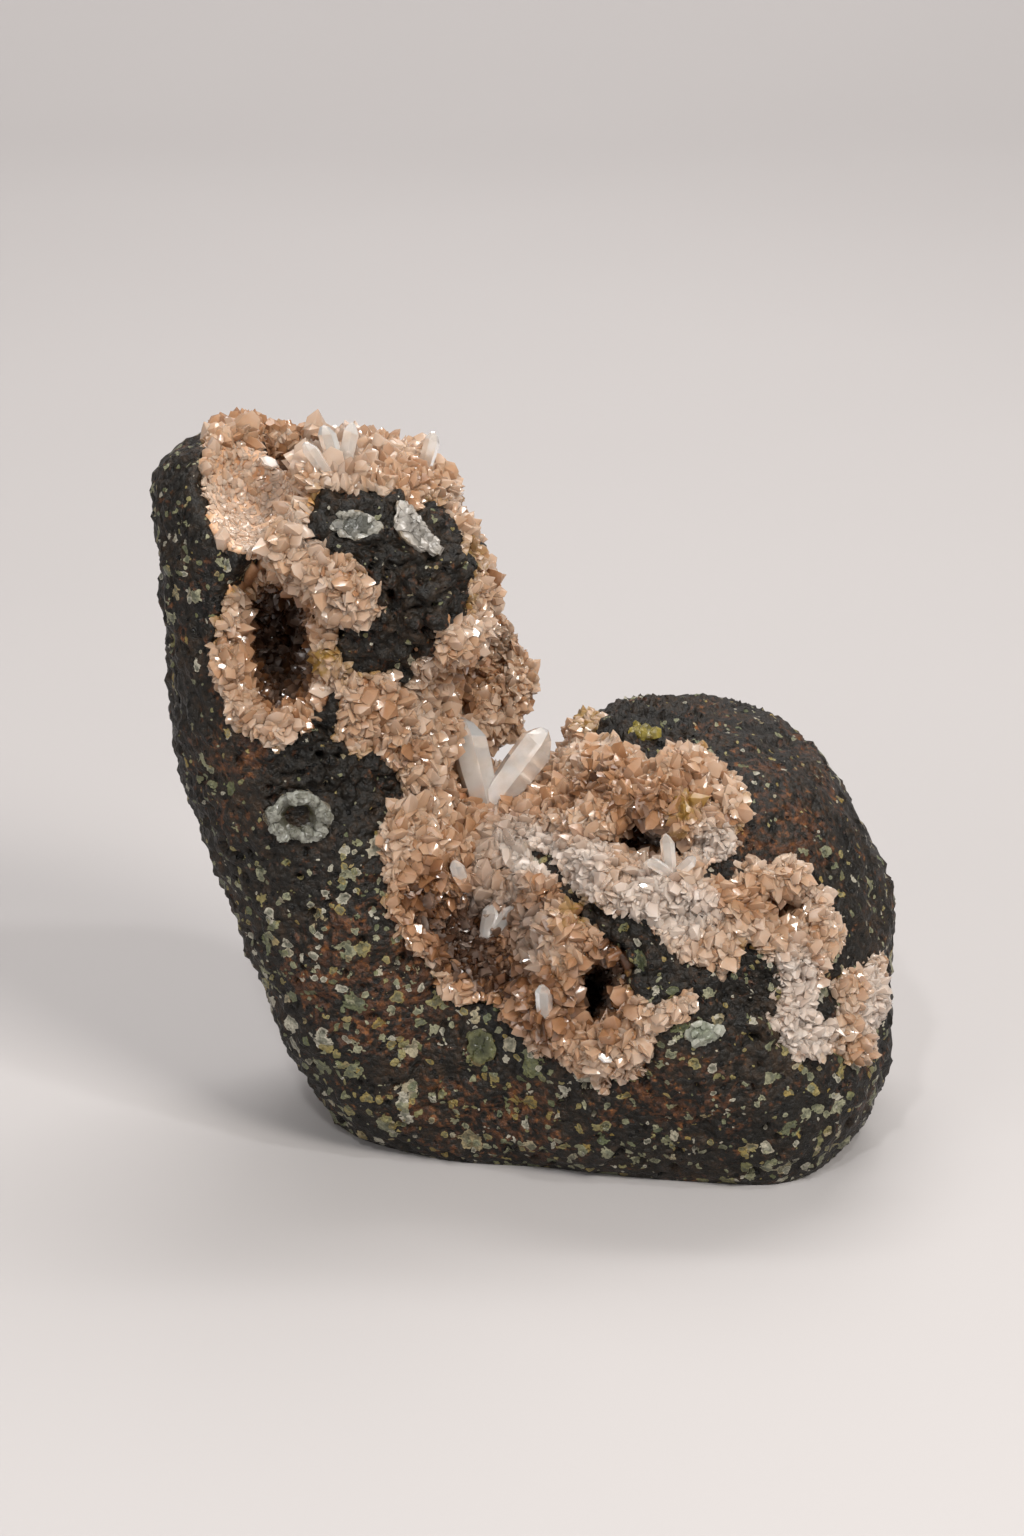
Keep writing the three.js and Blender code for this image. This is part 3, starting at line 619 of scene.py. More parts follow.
def rock_skin():
    """The pressed form, pushed along its normals by lumps, knobs, crags and gas holes where it is bare
    and drawn in under the crystals and nodules; its foot is worn flat at the height it stands on. Also
    gives how crowded the amygdales are and how rusty the rock is at each point."""
    p = ROCK_FLOOR
    n = steps_out(p)
    a, b = FORM_ACROSS, FORM_UP
    bare = 1 - ease(-0.4, 0.6, COVER)
    craggy = spots_at(a, b, RUGGED) * (FORM[..., 1] < 15)
    lumps = 0.6 * cloud(FORM, 7.0, 21) + 0.5 * cloud(FORM, 3.0, 22)
    block, next_block, block_height = grains(FORM + 0.8 * cloud(FORM, 2.5, 27)[..., None], 3.4, 24)
    crags = craggy * (1.7 * block_height - 1.0 + 1.5 * ease(0.0, 0.45, next_block - block) - 0.6)
    hump = ease(10, 26, a) * ease(-10, 6, b)
    along = np.radians(ANGLES)[:, None] * np.hypot(a - SADDLE[0], FORM[..., 2] - SADDLE[1])
    drawn = np.stack([along / 2.6, FORM[..., 1], along * 0], axis=-1)
    knob, _, height = grains(FORM, 2.2, 23)
    streak, _, length = grains(drawn, 1.7, 26)
    knobs = (0.45 + 0.7 * height) * np.clip(1.15 - 1.8 * knob, -0.5, 1)
    streaks = (0.5 + 0.7 * length) * np.clip(1.05 - 1.7 * streak, -0.5, 1)
    beads = (knobs * (1 - hump) + streaks * hump) * (0.85 + 0.6 * craggy)
    hole, _, number = grains(FORM + 0.5 * cloud(FORM, 1.5, 30)[..., None], 3.8, 31)
    width = 0.12 + 0.2 * number ** 2
    pits = -(1.6 + craggy) * (1 - ease(width * 0.5, width, hole))
    standing = ease(0.0, 2.5, p[..., 2])
    push = (lumps + crags + beads + pits) * bare - (UNDER_CRUST + SETTLED) * ease(0.2, 1.6, COVER)
    for node, _, _, wide, high, *_ in NODULES:
        middle, out = NODULE_SEATS[node]
        across, up = across_and_up(-out)
        share = np.hypot((FORM - middle) @ across / wide, (FORM - middle) @ up / high)
        seat = (1 - ease(0.7, 1.1, share)) * (np.linalg.norm(FORM - middle, axis=-1) < 9)
        push = push * (1 - seat) - 0.4 * seat
    p = p + n * (push * standing)[..., None]
    p[..., 2] = np.maximum(p[..., 2], 0)
    flank = ease(-36, -50, a) * 0.55
    crowd = np.maximum(ease(8, -34, b) * (0.6 + 0.4 * ease(20, -20, a)), flank) + 0.4 * hump
    rusty = spots_at(a, b, RUSTY) * (1 - 0.5 * hump)
    return p, {"crowd": crowd, "rusty": rusty}


skin, rock_labels = rock_skin()
poles = np.stack([skin[0].mean(axis=0), skin[-1].mean(axis=0)])
rock_points = np.concatenate([skin.reshape(-1, 3), poles])
rock_labels = {label: np.append(values.ravel(), [0, 0]) for label, values in rock_labels.items()}
rock_faces = closed_faces(*skin.shape[:2])
rock = mesh_piece("basalt_rock", rock_points, rock_faces, basalt_finish(), True, rock_labels)
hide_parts("basalt")


# The heulandite crust: the layer of intergrown crystals on the broken face and in the pockets, a
# lumpy shell whose ragged edge goes in under the rock's skin. The spots say where it is chalky, stained
# ochre or clear, and where it is deep honey, which in the pockets is also painted shade.
CHALKY = [(4, -13, 7, 5), (12, -17, 4, 7), (22, -20, 7, 5), (27, -22, 6, 5), (32, -11, 4, 4),
          (46, -40, 6, 8), (44, -32, 4, 5), (57, -37, 3, 7), (-22, -30, 4, 5)]
OCHRE = [(-13.8, 51.5, 1.8, 1.8), (-7, 33, 1.3, 3.5), (-28.5, 18.5, 1.7, 2.0), (-18.5, -2, 1.2, 3.0),
         (10.5, -22.5, 2.6, 2.4), (27.5, -6, 2.0, 1.8), (14.5, 7.5, 3, 1.6), (37.5, -28, 1.5, 1.5)]
# Deep honey spots; most lie in the pockets, where their depth is also painted shade
HONEY_AND_POCKET_SHADE = [(-35, 22, 7, 8), (-13, -20, 6, 9), (2, -36, 10, 7), (14, -34, 6, 9), (20, -4, 9, 5),
         (-7, 15, 5, 5), (-8, -25, 6, 8)]
CLEAR = [(-27, 51, 5, 7), (-2, -16, 6, 8), (4, -26, 4, 6), (24, -10, 3.5, 3.5), (-36, 2, 4, 3),
         (-30, 37, 4, 4)]
LAYER_THICK = 1.5


def crust_tones(p, cover, sunk, in_slab):
    """Per point: honey with painted shade (0 pale to 1 deep), chalky, ochre stain and clear, each 0 to 1.
    Honey deepens in the pockets as painted shade, less on the lobe, and fades at the crust's edge, where
    some contacts are ochre; the slab is pale and gets no painted pocket shade."""
    a = p[..., 0]
    b = (p - FACE_ORIGIN) @ UP_FACE
    drift = 0.2 * cloud(p, 5.0, 41) + 0.12 * cloud(p, 12.0, 42)
    honey = 0.36 + drift + 0.35 * spots_at(a, b, HONEY_AND_POCKET_SHADE) - 0.14 * (1 - ease(0.5, 2.5, cover))
    # Painted shade: honey deepens with a point's depth in a bowl, less on the lobe
    pocket_shade = 0.55 * ease(1, 10, sunk) * (1 - 0.6 * spots_at(a, b, LOBE_SPOT))
    honey = honey + np.where(in_slab, -0.25, pocket_shade) - 0.12 * spots_at(a, b, LOBE_SPOT)
    contact = 0.75 * (1 - ease(0.2, 1.0, cover)) * ease(0.15, 0.4, cloud(p, 6.0, 43))
    stain = np.maximum(spots_at(a, b, OCHRE), contact)
    chalky = spots_at(a, b, CHALKY)
    return {"honey": honey, "chalky": chalky, "stain": stain, "clear": spots_at(a, b, CLEAR)}


def heulandite_finish(name, clearness, softness, relief):
    """Peach, translucent and glossy: paler at the tips as painted light and where chalky, deeper at the
    feet and in the pockets as painted shade, ochre at contacts. Clearness is what it lets straight
    through and softness how rough its gloss is."""
    f = Finish(name)
    mottle = f.noise(1.7, 3.0)
    chalky = f.kept("chalky")
    stain = f.kept("stain")
    tip = f.kept("tip")
    # Painted light and shade: the colour pales towards a crystal's tip and deepens towards its foot; honey
    # carries the painted pocket shade
    peach = f.ramp(f.kept("honey") + (mottle - 0.5) * 0.25 + 0.2 - tip * 0.3, [
        (0.05, (0.74, 0.56, 0.43)), (0.3, (0.64, 0.42, 0.27)), (0.52, (0.50, 0.27, 0.14)),
        (0.72, (0.27, 0.12, 0.05)), (0.95, (0.08, 0.033, 0.014))])
    colour = f.mix(f.kept("clear") * tip * 0.6, peach, (0.74, 0.62, 0.52))
    colour = f.mix(chalky * (tip * 0.4 + 0.5), colour, (0.78, 0.68, 0.60))
    grime = f.noise(2.0, 4.0).between(0.36, 0.58)
    colour = f.mix(stain * grime, colour, (0.40, 0.23, 0.05))
    rough = softness + chalky * 0.3 + stain * 0.25 + mottle * 0.08 - f.kept("clear") * 0.04
    height = f.noise(0.6, 3.0) * 0.6 + f.cells(0.8) * 0.4
    return f.finished(bump=height, strength=relief, distance=0.25, Base_Color=colour, Roughness=rough,
                      IOR=1.5, Subsurface_Weight=0.5, Subsurface_Radius=(1.0, 1.0, 1.0),
                      Subsurface_Scale=0.5 * MM, Transmission_Weight=clearness)


def crust_shell():
    """Outer skin: the lined form with domes where sprays of crystals crowd, rising from under the
    rock's skin at the patch's edge. Inner skin: a layer's thickness inside it. Quads of both, joined
    by walls along the edge. Gives the outer grid and its normals, then the shell's points, its faces and
    each point's place in the grid."""
    rings, sides = COVER.shape
    n = steps_out(OUTER_FLOOR)
    rise = -0.9 + 1.3 * ease(-0.6, 1.8, COVER)
    dome, _, number = grains(FORM + 0.8 * cloud(FORM, 2.4, 53)[..., None], 5.2, 51)
    domes = (1.3 + 1.7 * number) * np.clip(1.0 - 2.2 * dome ** 2, -0.5, 1) - 0.5
    domes = domes * (1 - 0.7 * ease(2, 8, outer_sunk)) + 0.5 * cloud(FORM, 1.8, 52)
    lumps = np.where(IN_SLAB, 0.5 * cloud(FORM, 3.0, 52) + 0.25 * cloud(FORM, 1.1, 54), domes)
    sunken = SETTLED * ease(0.2, 1.6, COVER)
    outer = OUTER_FLOOR + n * (rise + lumps * ease(-0.2, 2.5, COVER) - sunken)[..., None]
    inner = outer - n * LAYER_THICK
    n = steps_out(outer)
    taken = COVER > -0.6
    keep = taken & np.roll(taken, -1, axis=1)
    keep = keep[:-1] & keep[1:]
    i, j = np.nonzero(keep)
    k = (j + 1) % sides
    quads = np.stack([i * sides + j, (i + 1) * sides + j, (i + 1) * sides + k, i * sides + k], -1)
    count = rings * sides
    edges = np.concatenate([quads[:, [0, 1]], quads[:, [1, 2]], quads[:, [2, 3]], quads[:, [3, 0]]])
    code = edges.min(axis=1) * count + edges.max(axis=1)
    _, first, times = np.unique(code, return_index=True, return_counts=True)
    rim = edges[first[times == 1]]
    walls = np.stack([rim[:, 1], rim[:, 0], rim[:, 0] + count, rim[:, 1] + count], -1)
    faces = np.concatenate([quads, quads[:, ::-1] + count, walls])
    used, faces = np.unique(faces, return_inverse=True)
    points = np.concatenate([outer.reshape(-1, 3), inner.reshape(-1, 3)])[used]
    return outer, n, points, faces.reshape(-1, 4), used % count


crust_outer, crust_normals, crust_points, crust_faces, crust_place = crust_shell()
TONES = crust_tones(FORM, COVER, outer_sunk, IN_SLAB)
labels = {label: values.ravel()[crust_place] for label, values in TONES.items()}
# Painted shade: the layer, which lies between the crystals' feet, is painted deeper than the crystals, less
# so in the slab
labels["honey"] = labels["honey"] + np.where(IN_SLAB.ravel()[crust_place], 0.05, 0.15)
labels["tip"] = np.zeros(len(crust_place))
layer_look = heulandite_finish("heulandite_layer", 0.0, 0.35, 0.5)
crust = mesh_piece("heulandite_layer", crust_points, crust_faces, layer_look, True, labels)
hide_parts("heulandite_crust")


# The heulandite crystals: thousands of small coffin-shaped blades that grow out of the layer, each a
# flat-sided prism with a sloping, ridged end. They stand clear of the two prisms in the saddle.
TYPICAL_CRYSTAL = 2.1
CRYSTAL_POINTS = 14
CRISP_EDGE = math.radians(38)


def crystal_mesh(points, ways, widths, heights, flats, random):
    """One crystal per point: a six-sided foot, a six-sided shoulder and a ridge of two points, turned
    so that its own Z is the way out, with small random changes to each corner. About half of it is
    sunk in its neighbours."""
    count = len(points)
    turn = np.arange(6) * (math.pi / 3)
    foot = np.stack([0.78 * np.cos(turn), 0.78 * np.sin(turn), np.full(6, -0.6)], -1)
    shoulder = np.stack([np.cos(turn), np.sin(turn), np.full(6, 0.3)], -1)
    ridge = np.array([[0.42, 0.12, 0.72], [-0.35, -0.1, 0.64]])
    shape = np.concatenate([foot, shoulder, ridge])
    shape = np.broadcast_to(shape, (count, CRYSTAL_POINTS, 3)).copy()
    shape[:, 6:] += random.uniform(-0.14, 0.14, (count, 8, 3))
    shape[:, :, 0] *= (widths / 2)[:, None]
    shape[:, :, 1] *= (widths * flats / 2)[:, None]
    shape[:, :, 2] *= heights[:, None]
    helper = np.where(np.abs(ways[:, 2:3]) < 0.8, [[0.0, 0.0, 1.0]], [[1.0, 0.0, 0.0]])
    side = np.cross(ways, helper)
    side /= np.linalg.norm(side, axis=1, keepdims=True)
    rise = np.cross(ways, side)
    spin = random.uniform(0, 2 * math.pi, count)[:, None]
    first = side * np.cos(spin) + rise * np.sin(spin)
    second = np.cross(ways, first)
    placed = shape[:, :, :1] * first[:, None] + shape[:, :, 1:2] * second[:, None]
    placed = placed + shape[:, :, 2:] * ways[:, None]
    faces = []
    for k in range(6):
        m = (k + 1) % 6
        faces += [(k, m, m + 6), (k, m + 6, k + 6)]
    faces += [(6, 7, 12), (7, 8, 12), (8, 13, 12), (8, 9, 13)]
    faces += [(9, 10, 13), (10, 11, 13), (11, 12, 13), (11, 6, 12)]
    faces += [(0, 5, 1), (1, 5, 4), (1, 4, 2), (2, 4, 3)]
    faces = np.array(faces)[None] + CRYSTAL_POINTS * np.arange(count)[:, None, None]
    return (placed + points[:, None]).reshape(-1, 3), faces.reshape(-1, 3)


def scattered(outer, normals, count, random):
    """Points spread over the covered part of a grid in proportion to its true area, each with the
    grid's place, normal and cell."""
    sides = COVER.shape[1]
    right = np.roll(outer, -1, axis=1)
    area = np.linalg.norm(np.cross(outer[1:] - outer[:-1], right[:-1] - outer[:-1]), axis=-1)
    area = area * (COVER[:-1] > 0.1) * np.where(IN_SLAB[:-1], 0.8, 1)
    reach = np.cumsum(area.ravel())
    marks = (np.arange(count) + random.uniform(0, 1, count)) * reach[-1] / count
    cell = np.minimum(np.searchsorted(reach, marks), area.size - 1)
    i, j = cell // sides, cell % sides
    u, v = random.uniform(0, 1, (2, count, 1))
    step_i = outer[i + 1, j] - outer[i, j]
    step_j = right[i, j] - outer[i, j]
    return outer[i, j] + u * step_i + v * step_j, normals[i, j], i, j


def crowded(seed, count):
    """The scattered crystals: each one's place on the form, its spot on the crust, its way out, size,
    height, flatness and tones, and the draw, which goes on from there. Sizes are spread evenly in their
    logarithm round the typical one, smaller in the slab, in the pockets and on the lobe."""
    random = np.random.default_rng(seed)
    spots, ways, ring, side = scattered(crust_outer, crust_normals, count, random)
    place = FORM[ring, side]
    tone = {label: values[ring, side] for label, values in TONES.items()}
    sunk = outer_sunk[ring, side]
    in_slab = IN_SLAB[ring, side]
    size = np.exp(np.clip(random.normal(0, 0.32, count), -0.6, 0.55)) * TYPICAL_CRYSTAL
    size *= (1 + 0.2 * tone["clear"] - 0.25 * tone["chalky"]) * np.where(in_slab, 0.6, 1)
    size *= 1 - 0.3 * spots_at(place[:, 0], (place - FACE_ORIGIN) @ UP_FACE, LOBE_SPOT)
    size *= (0.7 + 0.3 * ease(0, 2.0, COVER[ring, side])) * (1 - 0.35 * ease(2, 9, sunk) * ~in_slab)
    ways = ways + random.normal(0, 0.36, (count, 3)) * np.where(in_slab, 0.5, 1)[:, None]
    ways /= np.linalg.norm(ways, axis=1, keepdims=True)
    heights = size * random.uniform(0.75, 1.3, count) * np.where(in_slab, 0.35, 1)
    flats = random.uniform(0.4, 0.85, count)
    for label, spread in (("honey", 0.1), ("chalky", 0.1), ("clear", 0.15)):
        tone[label] = tone[label] + random.normal(0, spread, count)
    tone["chalky"] = np.clip(tone["chalky"], 0, 1)
    tone["clear"] = np.clip(tone["clear"], 0, 1)
    return place, spots, ways, size, heights, flats, tone, random


CRYSTAL_SEED = 9410
CRYSTAL_COUNT = 24000
# The finish paints each crystal paler towards its tip as painted light and deeper at its foot as painted
# shade
PAINTED_TIP_LIGHT = np.array([0.0] * 6 + [0.65] * 6 + [1.0] * 2)  # how near its tip each of a crystal's points lies
place, spots, ways, size, heights, flats, tone, random = crowded(CRYSTAL_SEED, CRYSTAL_COUNT)
crystal_look = heulandite_finish("heulandite", 0.42, 0.05, 0.08)
clear_look = heulandite_finish("clear_heulandite", 0.55, 0.04, 0.05)
CLEAR_FROM = 0.55
is_clear = tone["clear"] > CLEAR_FROM
# Each clear prism's foot and tip, width, flatness and turn
PRISMS = [
    ((-4.3, -8.6, 56.5), (-8.0, -4.4, 70.8), 6.2, 0.85, 0.2),
    ((-3.0, -8.6, 57.5), (5.8, -5.2, 68.8), 6.4, 0.8, 0.5),
]
CLEAR_OF_PRISM = 3.4  # from its line, less towards its tip
SMALL_BY_PRISM = 4.8  # crystals nearer than this are half as large
PRISM_FOOT_SHARE = 0.12
open_air = np.ones(len(spots), dtype=bool)
for foot, tip, *_ in PRISMS:
    long = np.array(tip) - foot
    share = np.clip((spots - foot) @ long / (long @ long), 0, 1)
    gap = np.linalg.norm(spots - foot - share[:, None] * long, axis=1)
    open_air &= (gap > CLEAR_OF_PRISM - 1.2 * ease(0.85, 1.0, share)) | (share < PRISM_FOOT_SHARE)
    beside = (gap < SMALL_BY_PRISM) & (share > PRISM_FOOT_SHARE)
    size *= np.where(beside, 0.5, 1)
    heights *= np.where(beside, 0.5, 1)
TOWER_FOOT = 84
BELLY_TOP = 50
HUMP_EDGE = 15
in_tower = place[:, 2] > TOWER_FOOT
in_hump = ~in_tower & (place[:, 0] > HUMP_EDGE)
in_belly = ~in_tower & ~in_hump & (place[:, 2] <= BELLY_TOP)
in_saddle = ~in_tower & ~in_hump & ~in_belly
ZONES = {
    "clear": (is_clear, clear_look),
    "tower": (~is_clear & in_tower, crystal_look),
    "hump": (~is_clear & in_hump, crystal_look),
    "belly": (~is_clear & in_belly, crystal_look),
    "saddle": (~is_clear & in_saddle, crystal_look),
}
for zone, (chosen, look) in ZONES.items():
    chosen = np.nonzero(chosen & open_air)[0]
    points, faces = crystal_mesh(
        spots[chosen], ways[chosen], size[chosen], heights[chosen], flats[chosen], random)
    labels = {label: np.repeat(values[chosen], CRYSTAL_POINTS) for label, values in tone.items()}
    labels["tip"] = np.tile(PAINTED_TIP_LIGHT, len(chosen))
    blades = mesh_piece("heulandite_blades_" + zone, points, faces, look, True, labels)
    blades.data.set_sharp_from_angle(angle=CRISP_EDGE)
    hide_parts("heulandite_crust")


# The nodules: larger amygdales of other zeolites that fill old gas holes, waxy, with a worn crown, a
# paler rim and, on the big one, a dished middle. Each sits in the rock's skin, and five of them carry
# small crystals.
NODULE_ROOT = 1.6  # how deep a nodule goes below the skin


def nodule_finish(name, rim, core):
    """Waxy and cloudy, from the core's colour to the rim's, with a brown edge and small facets."""
    f = Finish(name)
    cloudy = f.noise(1.8, 4.0, 0.6)
    across = f.kept("across")
    colour = f.mix((across + cloudy * 0.4).between(0.6, 1.05), core, rim)
    colour = f.mix(f.noise(0.9, 4.0).between(0.42, 0.62) * 0.6, colour, core)
    colour = f.mix((across + f.noise(1.2, 3.0) * 0.3).between(1.05, 1.2) * 0.7, colour, (0.16, 0.10, 0.035))
    facets = f.cells(1.6, place=f.shaken(1.2, 0.4))
    return f.finished(bump=cloudy * 0.6 + facets * 0.8, strength=0.8, distance=0.4, Base_Color=colour,
                      Roughness=0.08 + cloudy * 0.3, Subsurface_Weight=0.35, Subsurface_Scale=0.8 * MM,
                      Subsurface_Radius=(1.0, 1.0, 1.0), Transmission_Weight=0.3)


def nodule_shape(middle, out, wide, high, crown, dished, outline):
    """A lens on rings from its crown to its root: radius sin(t) times the outline's share, height crown
    cos(t) above the skin and root cos(t) below it; a dished one's height dips where sin(t) is small.
    Cells of the grain noise then step it up or down."""
    t = np.linspace(0.06, math.pi - 0.06, 22)[:, None]
    turn = np.linspace(0, 2 * math.pi, 44, endpoint=False)[None]
    shares = np.interp(turn, np.arange(9) * math.pi / 4, (*outline, outline[0]))
    radius = np.sin(t) * (shares + 0.05 * np.sin(7 * turn + wide))
    height = np.where(np.cos(t) > 0, crown, NODULE_ROOT) * np.cos(t)
    if dished:
        bowl = crown * (1.6 * ease(0.2, 0.62, radius) - 1.0 * ease(0.75, 1.1, radius)) - 1.0
        height = np.where(t < math.pi / 2, bowl, height)
    across, up = across_and_up(-out)
    p = middle + (radius * np.cos(turn) * wide)[..., None] * across
    p = p + (radius * np.sin(turn) * high)[..., None] * up
    p = p + (height * np.ones_like(turn))[..., None] * out
    _, _, step = grains(p, 1.5, 60)
    p = p + (0.7 * step - 0.3)[..., None] * out
    return p, radius * np.ones_like(turn)


def nodule_spray(middle, out, wide, high, crown, outline, count, least):
    """Crystals scattered over a nodule's crown, from a least share of the way out to 0.9 of it."""
    turn = random.uniform(0, 2 * math.pi, count)
    share = np.sqrt(random.uniform(least ** 2, 0.8, count))
    reach = share * np.interp(turn, np.arange(9) * math.pi / 4, (*outline, outline[0]))
    across, up = across_and_up(-out)
    spots = middle + (reach * np.cos(turn) * wide)[:, None] * across
    spots = spots + (reach * np.sin(turn) * high)[:, None] * up
    ways = out + random.normal(0, 0.35, (count, 3))
    ways /= np.linalg.norm(ways, axis=1, keepdims=True)
    sizes = random.uniform(1.5, 2.6, count)
    heights = random.uniform(0.9, 1.7, count)
    spots = spots + (crown - 0.2) * out
    points, faces = crystal_mesh(spots, ways, sizes, heights, 0.4 + 0.2 * sizes, random)
    return points, faces, np.repeat(share, CRYSTAL_POINTS)


# How many crystals stand on a nodule, and the least share of the way out to its rim
SPRAYS = {"ring_nodule": (46, 0.66), "cap_white_nodule": (34, 0.0), "cap_grey_nodule": (22, 0.0),
          "white_nodule": (12, 0.0), "yellow_nodule": (12, 0.0)}
for node, _, _, wide, high, crown, dished, rim, core, outline in NODULES:
    middle, out = NODULE_SEATS[node]
    p, share = nodule_shape(middle, out, wide, high, crown, dished, outline)
    poles = np.stack([p[0].mean(axis=0), p[-1].mean(axis=0)])
    points = np.concatenate([p.reshape(-1, 3), poles])
    faces = closed_faces(*p.shape[:2])
    share = np.concatenate([share.ravel(), [0, 0]])
    if node in SPRAYS:
        more, more_faces, more_share = nodule_spray(middle, out, wide, high, crown, outline, *SPRAYS[node])
        faces.append(more_faces + len(points))
        points = np.concatenate([points, more])
        share = np.concatenate([share, more_share])
    look = nodule_finish(node, rim, core)
    piece = mesh_piece(node + "_inlay", points, faces, look, True, {"across": share})
    piece.data.set_sharp_from_angle(angle=CRISP_EDGE)
    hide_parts(node)


# The clear prisms: two larger, clearer six-sided crystals that grow from one foot in the saddle,
# slightly milky, each with a pointed end.
def clear_finish(name, milkiness, depth):
    """Clear, with a milky veil: milkiness is how much light the veil scatters, depth in mm how far."""
    f = Finish(name)
    veil = f.noise(2.5, 4.0).between(0.4, 0.7)
    return f.finished(bump=f.noise(0.8, 3.0), strength=0.06, distance=0.2,
                      Base_Color=f.mix(veil, (0.94, 0.90, 0.85), (0.83, 0.77, 0.70)),
                      Roughness=0.04 + veil * 0.2, IOR=1.53, Transmission_Weight=0.75,
                      Subsurface_Weight=milkiness, Subsurface_Radius=(1.0, 1.0, 1.0),
                      Subsurface_Scale=depth * MM)


# Shares of a crystal's length and of its width, and the slant of the ring there
LONG_POINT = [(0.0, 0.8, 0), (0.45, 0.97, 0), (0.78, 1.0, 0.12), (0.94, 0.5, 0.1)]


def prism(foot, tip, wide, flat, spin, stations=LONG_POINT):
    """Rings of six corners at stations, each a share of the length, a share of the width and a slant,
    closed by a pole at the foot and one at the tip."""
    foot, tip = np.array(foot), np.array(tip)
    way = (tip - foot) / np.linalg.norm(tip - foot)
    long = np.linalg.norm(tip - foot)
    side = np.cross(way, [0.0, 1.0, 0.0])
    side /= np.linalg.norm(side)
    rise = np.cross(side, way)
    turn = np.arange(6) * math.pi / 3 + spin
    rings = []
    for share, width, slant in stations:
        corner = np.cos(turn)[:, None] * side + flat * np.sin(turn)[:, None] * rise
        lift = share * long + slant * wide * np.cos(turn + 0.6)[:, None]
        rings.append(foot + way * lift + corner * width * wide / 2)
    return np.array(rings), foot, tip


def joined(crystals):
    """The points and the outward faces of several crystals, each given by its rings, foot and tip."""
    points = []
    faces = []
    shift = 0
    for rings, foot, tip in crystals:
        points += [rings.reshape(-1, 3), foot[None], tip[None]]
        faces += [group[:, ::-1] + shift for group in closed_faces(len(rings), 6)]
        shift += len(rings) * 6 + 2
    return np.concatenate(points), faces


clear_points, clear_faces = joined([prism(*row) for row in PRISMS])
prism_look = clear_finish("clear_crystal", 0.8, 2.0)
prisms = mesh_piece("clear_points", clear_points, clear_faces, prism_look, False)
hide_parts("clear_prisms")


# The standing crystals: a few larger pale blades that rise out of the crust, and five small plates
# whose faces catch the light.
def crust_at(a, b):
    """The foremost point of the crust's layer within 1.2 mm of the nearest to a place on the face."""
    gap = np.hypot(crust_outer[..., 0] - a, (crust_outer - FACE_ORIGIN) @ UP_FACE - b)
    gap = np.where(COVER > 0.3, gap, 999)
    depth = (crust_outer - FACE_ORIGIN) @ AHEAD + np.where(gap < gap.min() + 1.2, 0, 999)
    return crust_outer[np.unravel_index(np.argmin(depth), depth.shape)]


# Foot and tip across and up the face, width, flatness
BLADES = [
    (3.9, -39.1, 3.6, -32.8, 2.7, 0.7), (25.0, -14.7, 24.1, -8.2, 2.3, 0.5),
    (25.4, -14.5, 28.4, -11.6, 2.2, 0.5), (24.5, -14.5, 20.8, -12.0, 2.0, 0.5),
    (-5.5, -26.5, -4.3, -20.5, 2.7, 0.45), (-4.5, -26, -0.8, -20.8, 2.4, 0.5),
    (-7, -20, -8.5, -14.8, 2.5, 0.5), (-26.5, 48, -28.5, 54.5, 2.8, 0.6),
    (-26, 48, -24.3, 55.0, 2.7, 0.5), (-29, 46.5, -32.5, 51.5, 2.4, 0.6),
    (-13, 48, -11.2, 54.2, 2.6, 0.5), (-2.8, 3.5, -1.6, 9.0, 3.4, 0.6),
]
BLADE_LEAN = -2.6  # a blade's tip lies this far in front of its foot
# Place across and up the face, width
PLATES = [(-37.7, 49.5, 3.6), (-4.6, 20.6, 3.0), (13.0, -44.5, 2.8), (19.5, -16.5, 2.0), (-45, 15, 1.8)]
TO_KEY = np.array([0.2345, -0.818, 0.524])  # halfway between the way to the camera and to the key light
BROAD = [(0.0, 0.8, 0), (0.7, 1.0, 0), (1.0, 0.8, 0)]
PLATE_STANDS = 1.6
PLATE_FLATNESS = 0.55
standing = []
for a, b, tip_a, tip_b, wide, flat in BLADES:
    foot = crust_at(a, b)
    tip = foot + on_face(tip_a, tip_b, BLADE_LEAN) - on_face(a, b, 0)
    standing.append(prism(foot, tip, wide, flat, 0.3 + a))
for a, b, wide in PLATES:
    foot = crust_at(a, b)
    standing.append(prism(foot, foot + PLATE_STANDS * TO_KEY, wide, PLATE_FLATNESS, a, BROAD))
standing_points, standing_faces = joined(standing)
pale_look = clear_finish("pale_crystal", 0.6, 0.4)
blades = mesh_piece("standing_crystals", standing_points, standing_faces, pale_look, False)
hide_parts("heulandite_crust")


# The stage: a plain pale floor that turns up far behind, soft lights in front, at the left, above and
# on the wall, two small bright ones for the glints, and the camera at the photograph's angle.
def stage_floor():
    """A sheet that lies flat under the rock and turns up far behind it on an arc. Sizes are in metres:
    where it starts in front and bends up, the arc's radius, its top, and half its width."""
    front, bend, radius, top, half = -2.5, 0.9, 0.7, 2.6, 3.0
    arc = np.linspace(0, math.pi / 2, 24)
    y = np.concatenate([[front], bend + radius * np.sin(arc), [bend + radius]])
    z = np.concatenate([[0.0], radius * (1 - np.cos(arc)), [top]])
    rows = len(y)
    points = np.stack([np.repeat([[-half], [half]], rows, axis=1), [y, y], [z, z]], -1).reshape(-1, 3)
    i = np.arange(rows - 1)
    quads = np.stack([i, i + rows, i + rows + 1, i + 1], -1)
    mesh = bpy.data.meshes.new("floor")
    mesh.from_pydata(points.tolist(), [], quads.tolist())
    mesh.polygons.foreach_set("use_smooth", np.full(len(quads), True))
    floor = bpy.data.objects.new("floor", mesh)
    bpy.context.collection.objects.link(floor)
    f = Finish("floor")
    pale = f.mix(f.noise(400.0, 2.0), (0.41, 0.39, 0.385), (0.455, 0.435, 0.43))
    mesh.materials.append(f.finished(Base_Color=pale, Roughness=0.6))


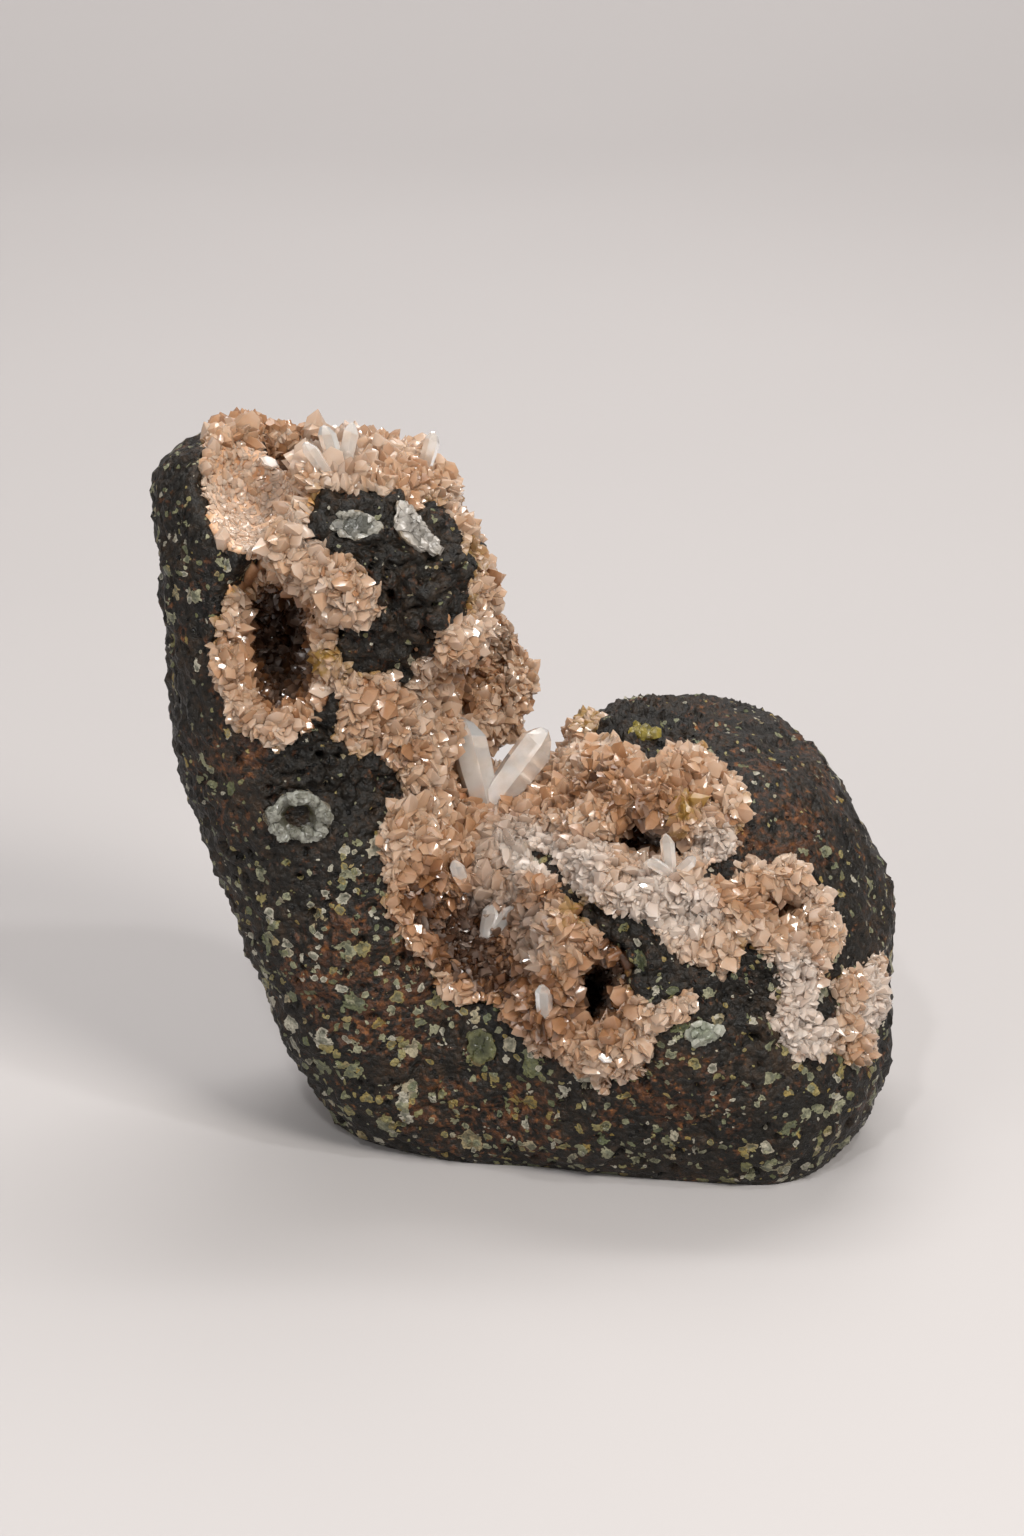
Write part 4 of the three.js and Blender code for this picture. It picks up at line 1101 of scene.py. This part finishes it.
def light(name, place, size, watts, colour, aim):
    """A soft box at a place, in metres, turned so that it shines along the way to its aim."""
    lamp = bpy.data.lights.new(name, "AREA")
    lamp.shape = "RECTANGLE"
    lamp.size, lamp.size_y = size
    lamp.energy = watts
    lamp.color = colour
    holder = bpy.data.objects.new(name, lamp)
    bpy.context.collection.objects.link(holder)
    way = np.array(aim) - np.array(place)
    way = way / np.linalg.norm(way)
    holder.location = place
    holder.rotation_euler = (math.acos(-way[2]), 0, math.atan2(way[0], -way[1]) + math.pi)


stage_floor()
middle = (0.0, 0.0, 0.06)
light("key", (0.45, -0.62, 0.72), (0.28, 0.28), 7.8, (1.0, 0.96, 0.91), middle)
light("fill", (-0.7, -0.8, 0.45), (0.6, 0.6), 3.6, (1.0, 0.98, 0.97), middle)
light("top", (0.15, 0.42, 0.9), (0.7, 0.5), 3.6, (1.0, 0.98, 0.96), middle)
light("glint", (-0.12, -0.55, 0.62), (0.04, 0.04), 1.5, (1.0, 1.0, 1.0), middle)
light("sparkle", (0.3, -0.35, 0.8), (0.05, 0.05), 1.5, (1.0, 1.0, 1.0), middle)
light("wall", (0.0, 0.55, 1.5), (1.2, 0.4), 20.0, (1.0, 0.98, 0.97), (0.0, 1.6, 0.5))

world = bpy.data.worlds.new("studio")
world.use_nodes = True
world.node_tree.nodes["Background"].inputs["Color"].default_value = (0.92, 0.89, 0.87, 1)
world.node_tree.nodes["Background"].inputs["Strength"].default_value = 0.32
bpy.context.scene.world = world
bpy.context.scene.view_settings.view_transform = "Standard"

CAMERA_DISTANCE = 0.589
CAMERA_RISE = math.radians(20)
lens = bpy.data.cameras.new("camera")
lens.lens = 85
lens.sensor_fit = "VERTICAL"
lens.sensor_height = 36
camera = bpy.data.objects.new("camera", lens)
bpy.context.collection.objects.link(camera)
target = (FACE_ORIGIN + TO_FRAME + np.array([0, 0, 0.8])) * MM
camera.location = target + CAMERA_DISTANCE * np.array([0, -math.cos(CAMERA_RISE), math.sin(CAMERA_RISE)])
camera.rotation_euler = (math.pi / 2 - CAMERA_RISE, 0, 0)
bpy.context.scene.camera = camera
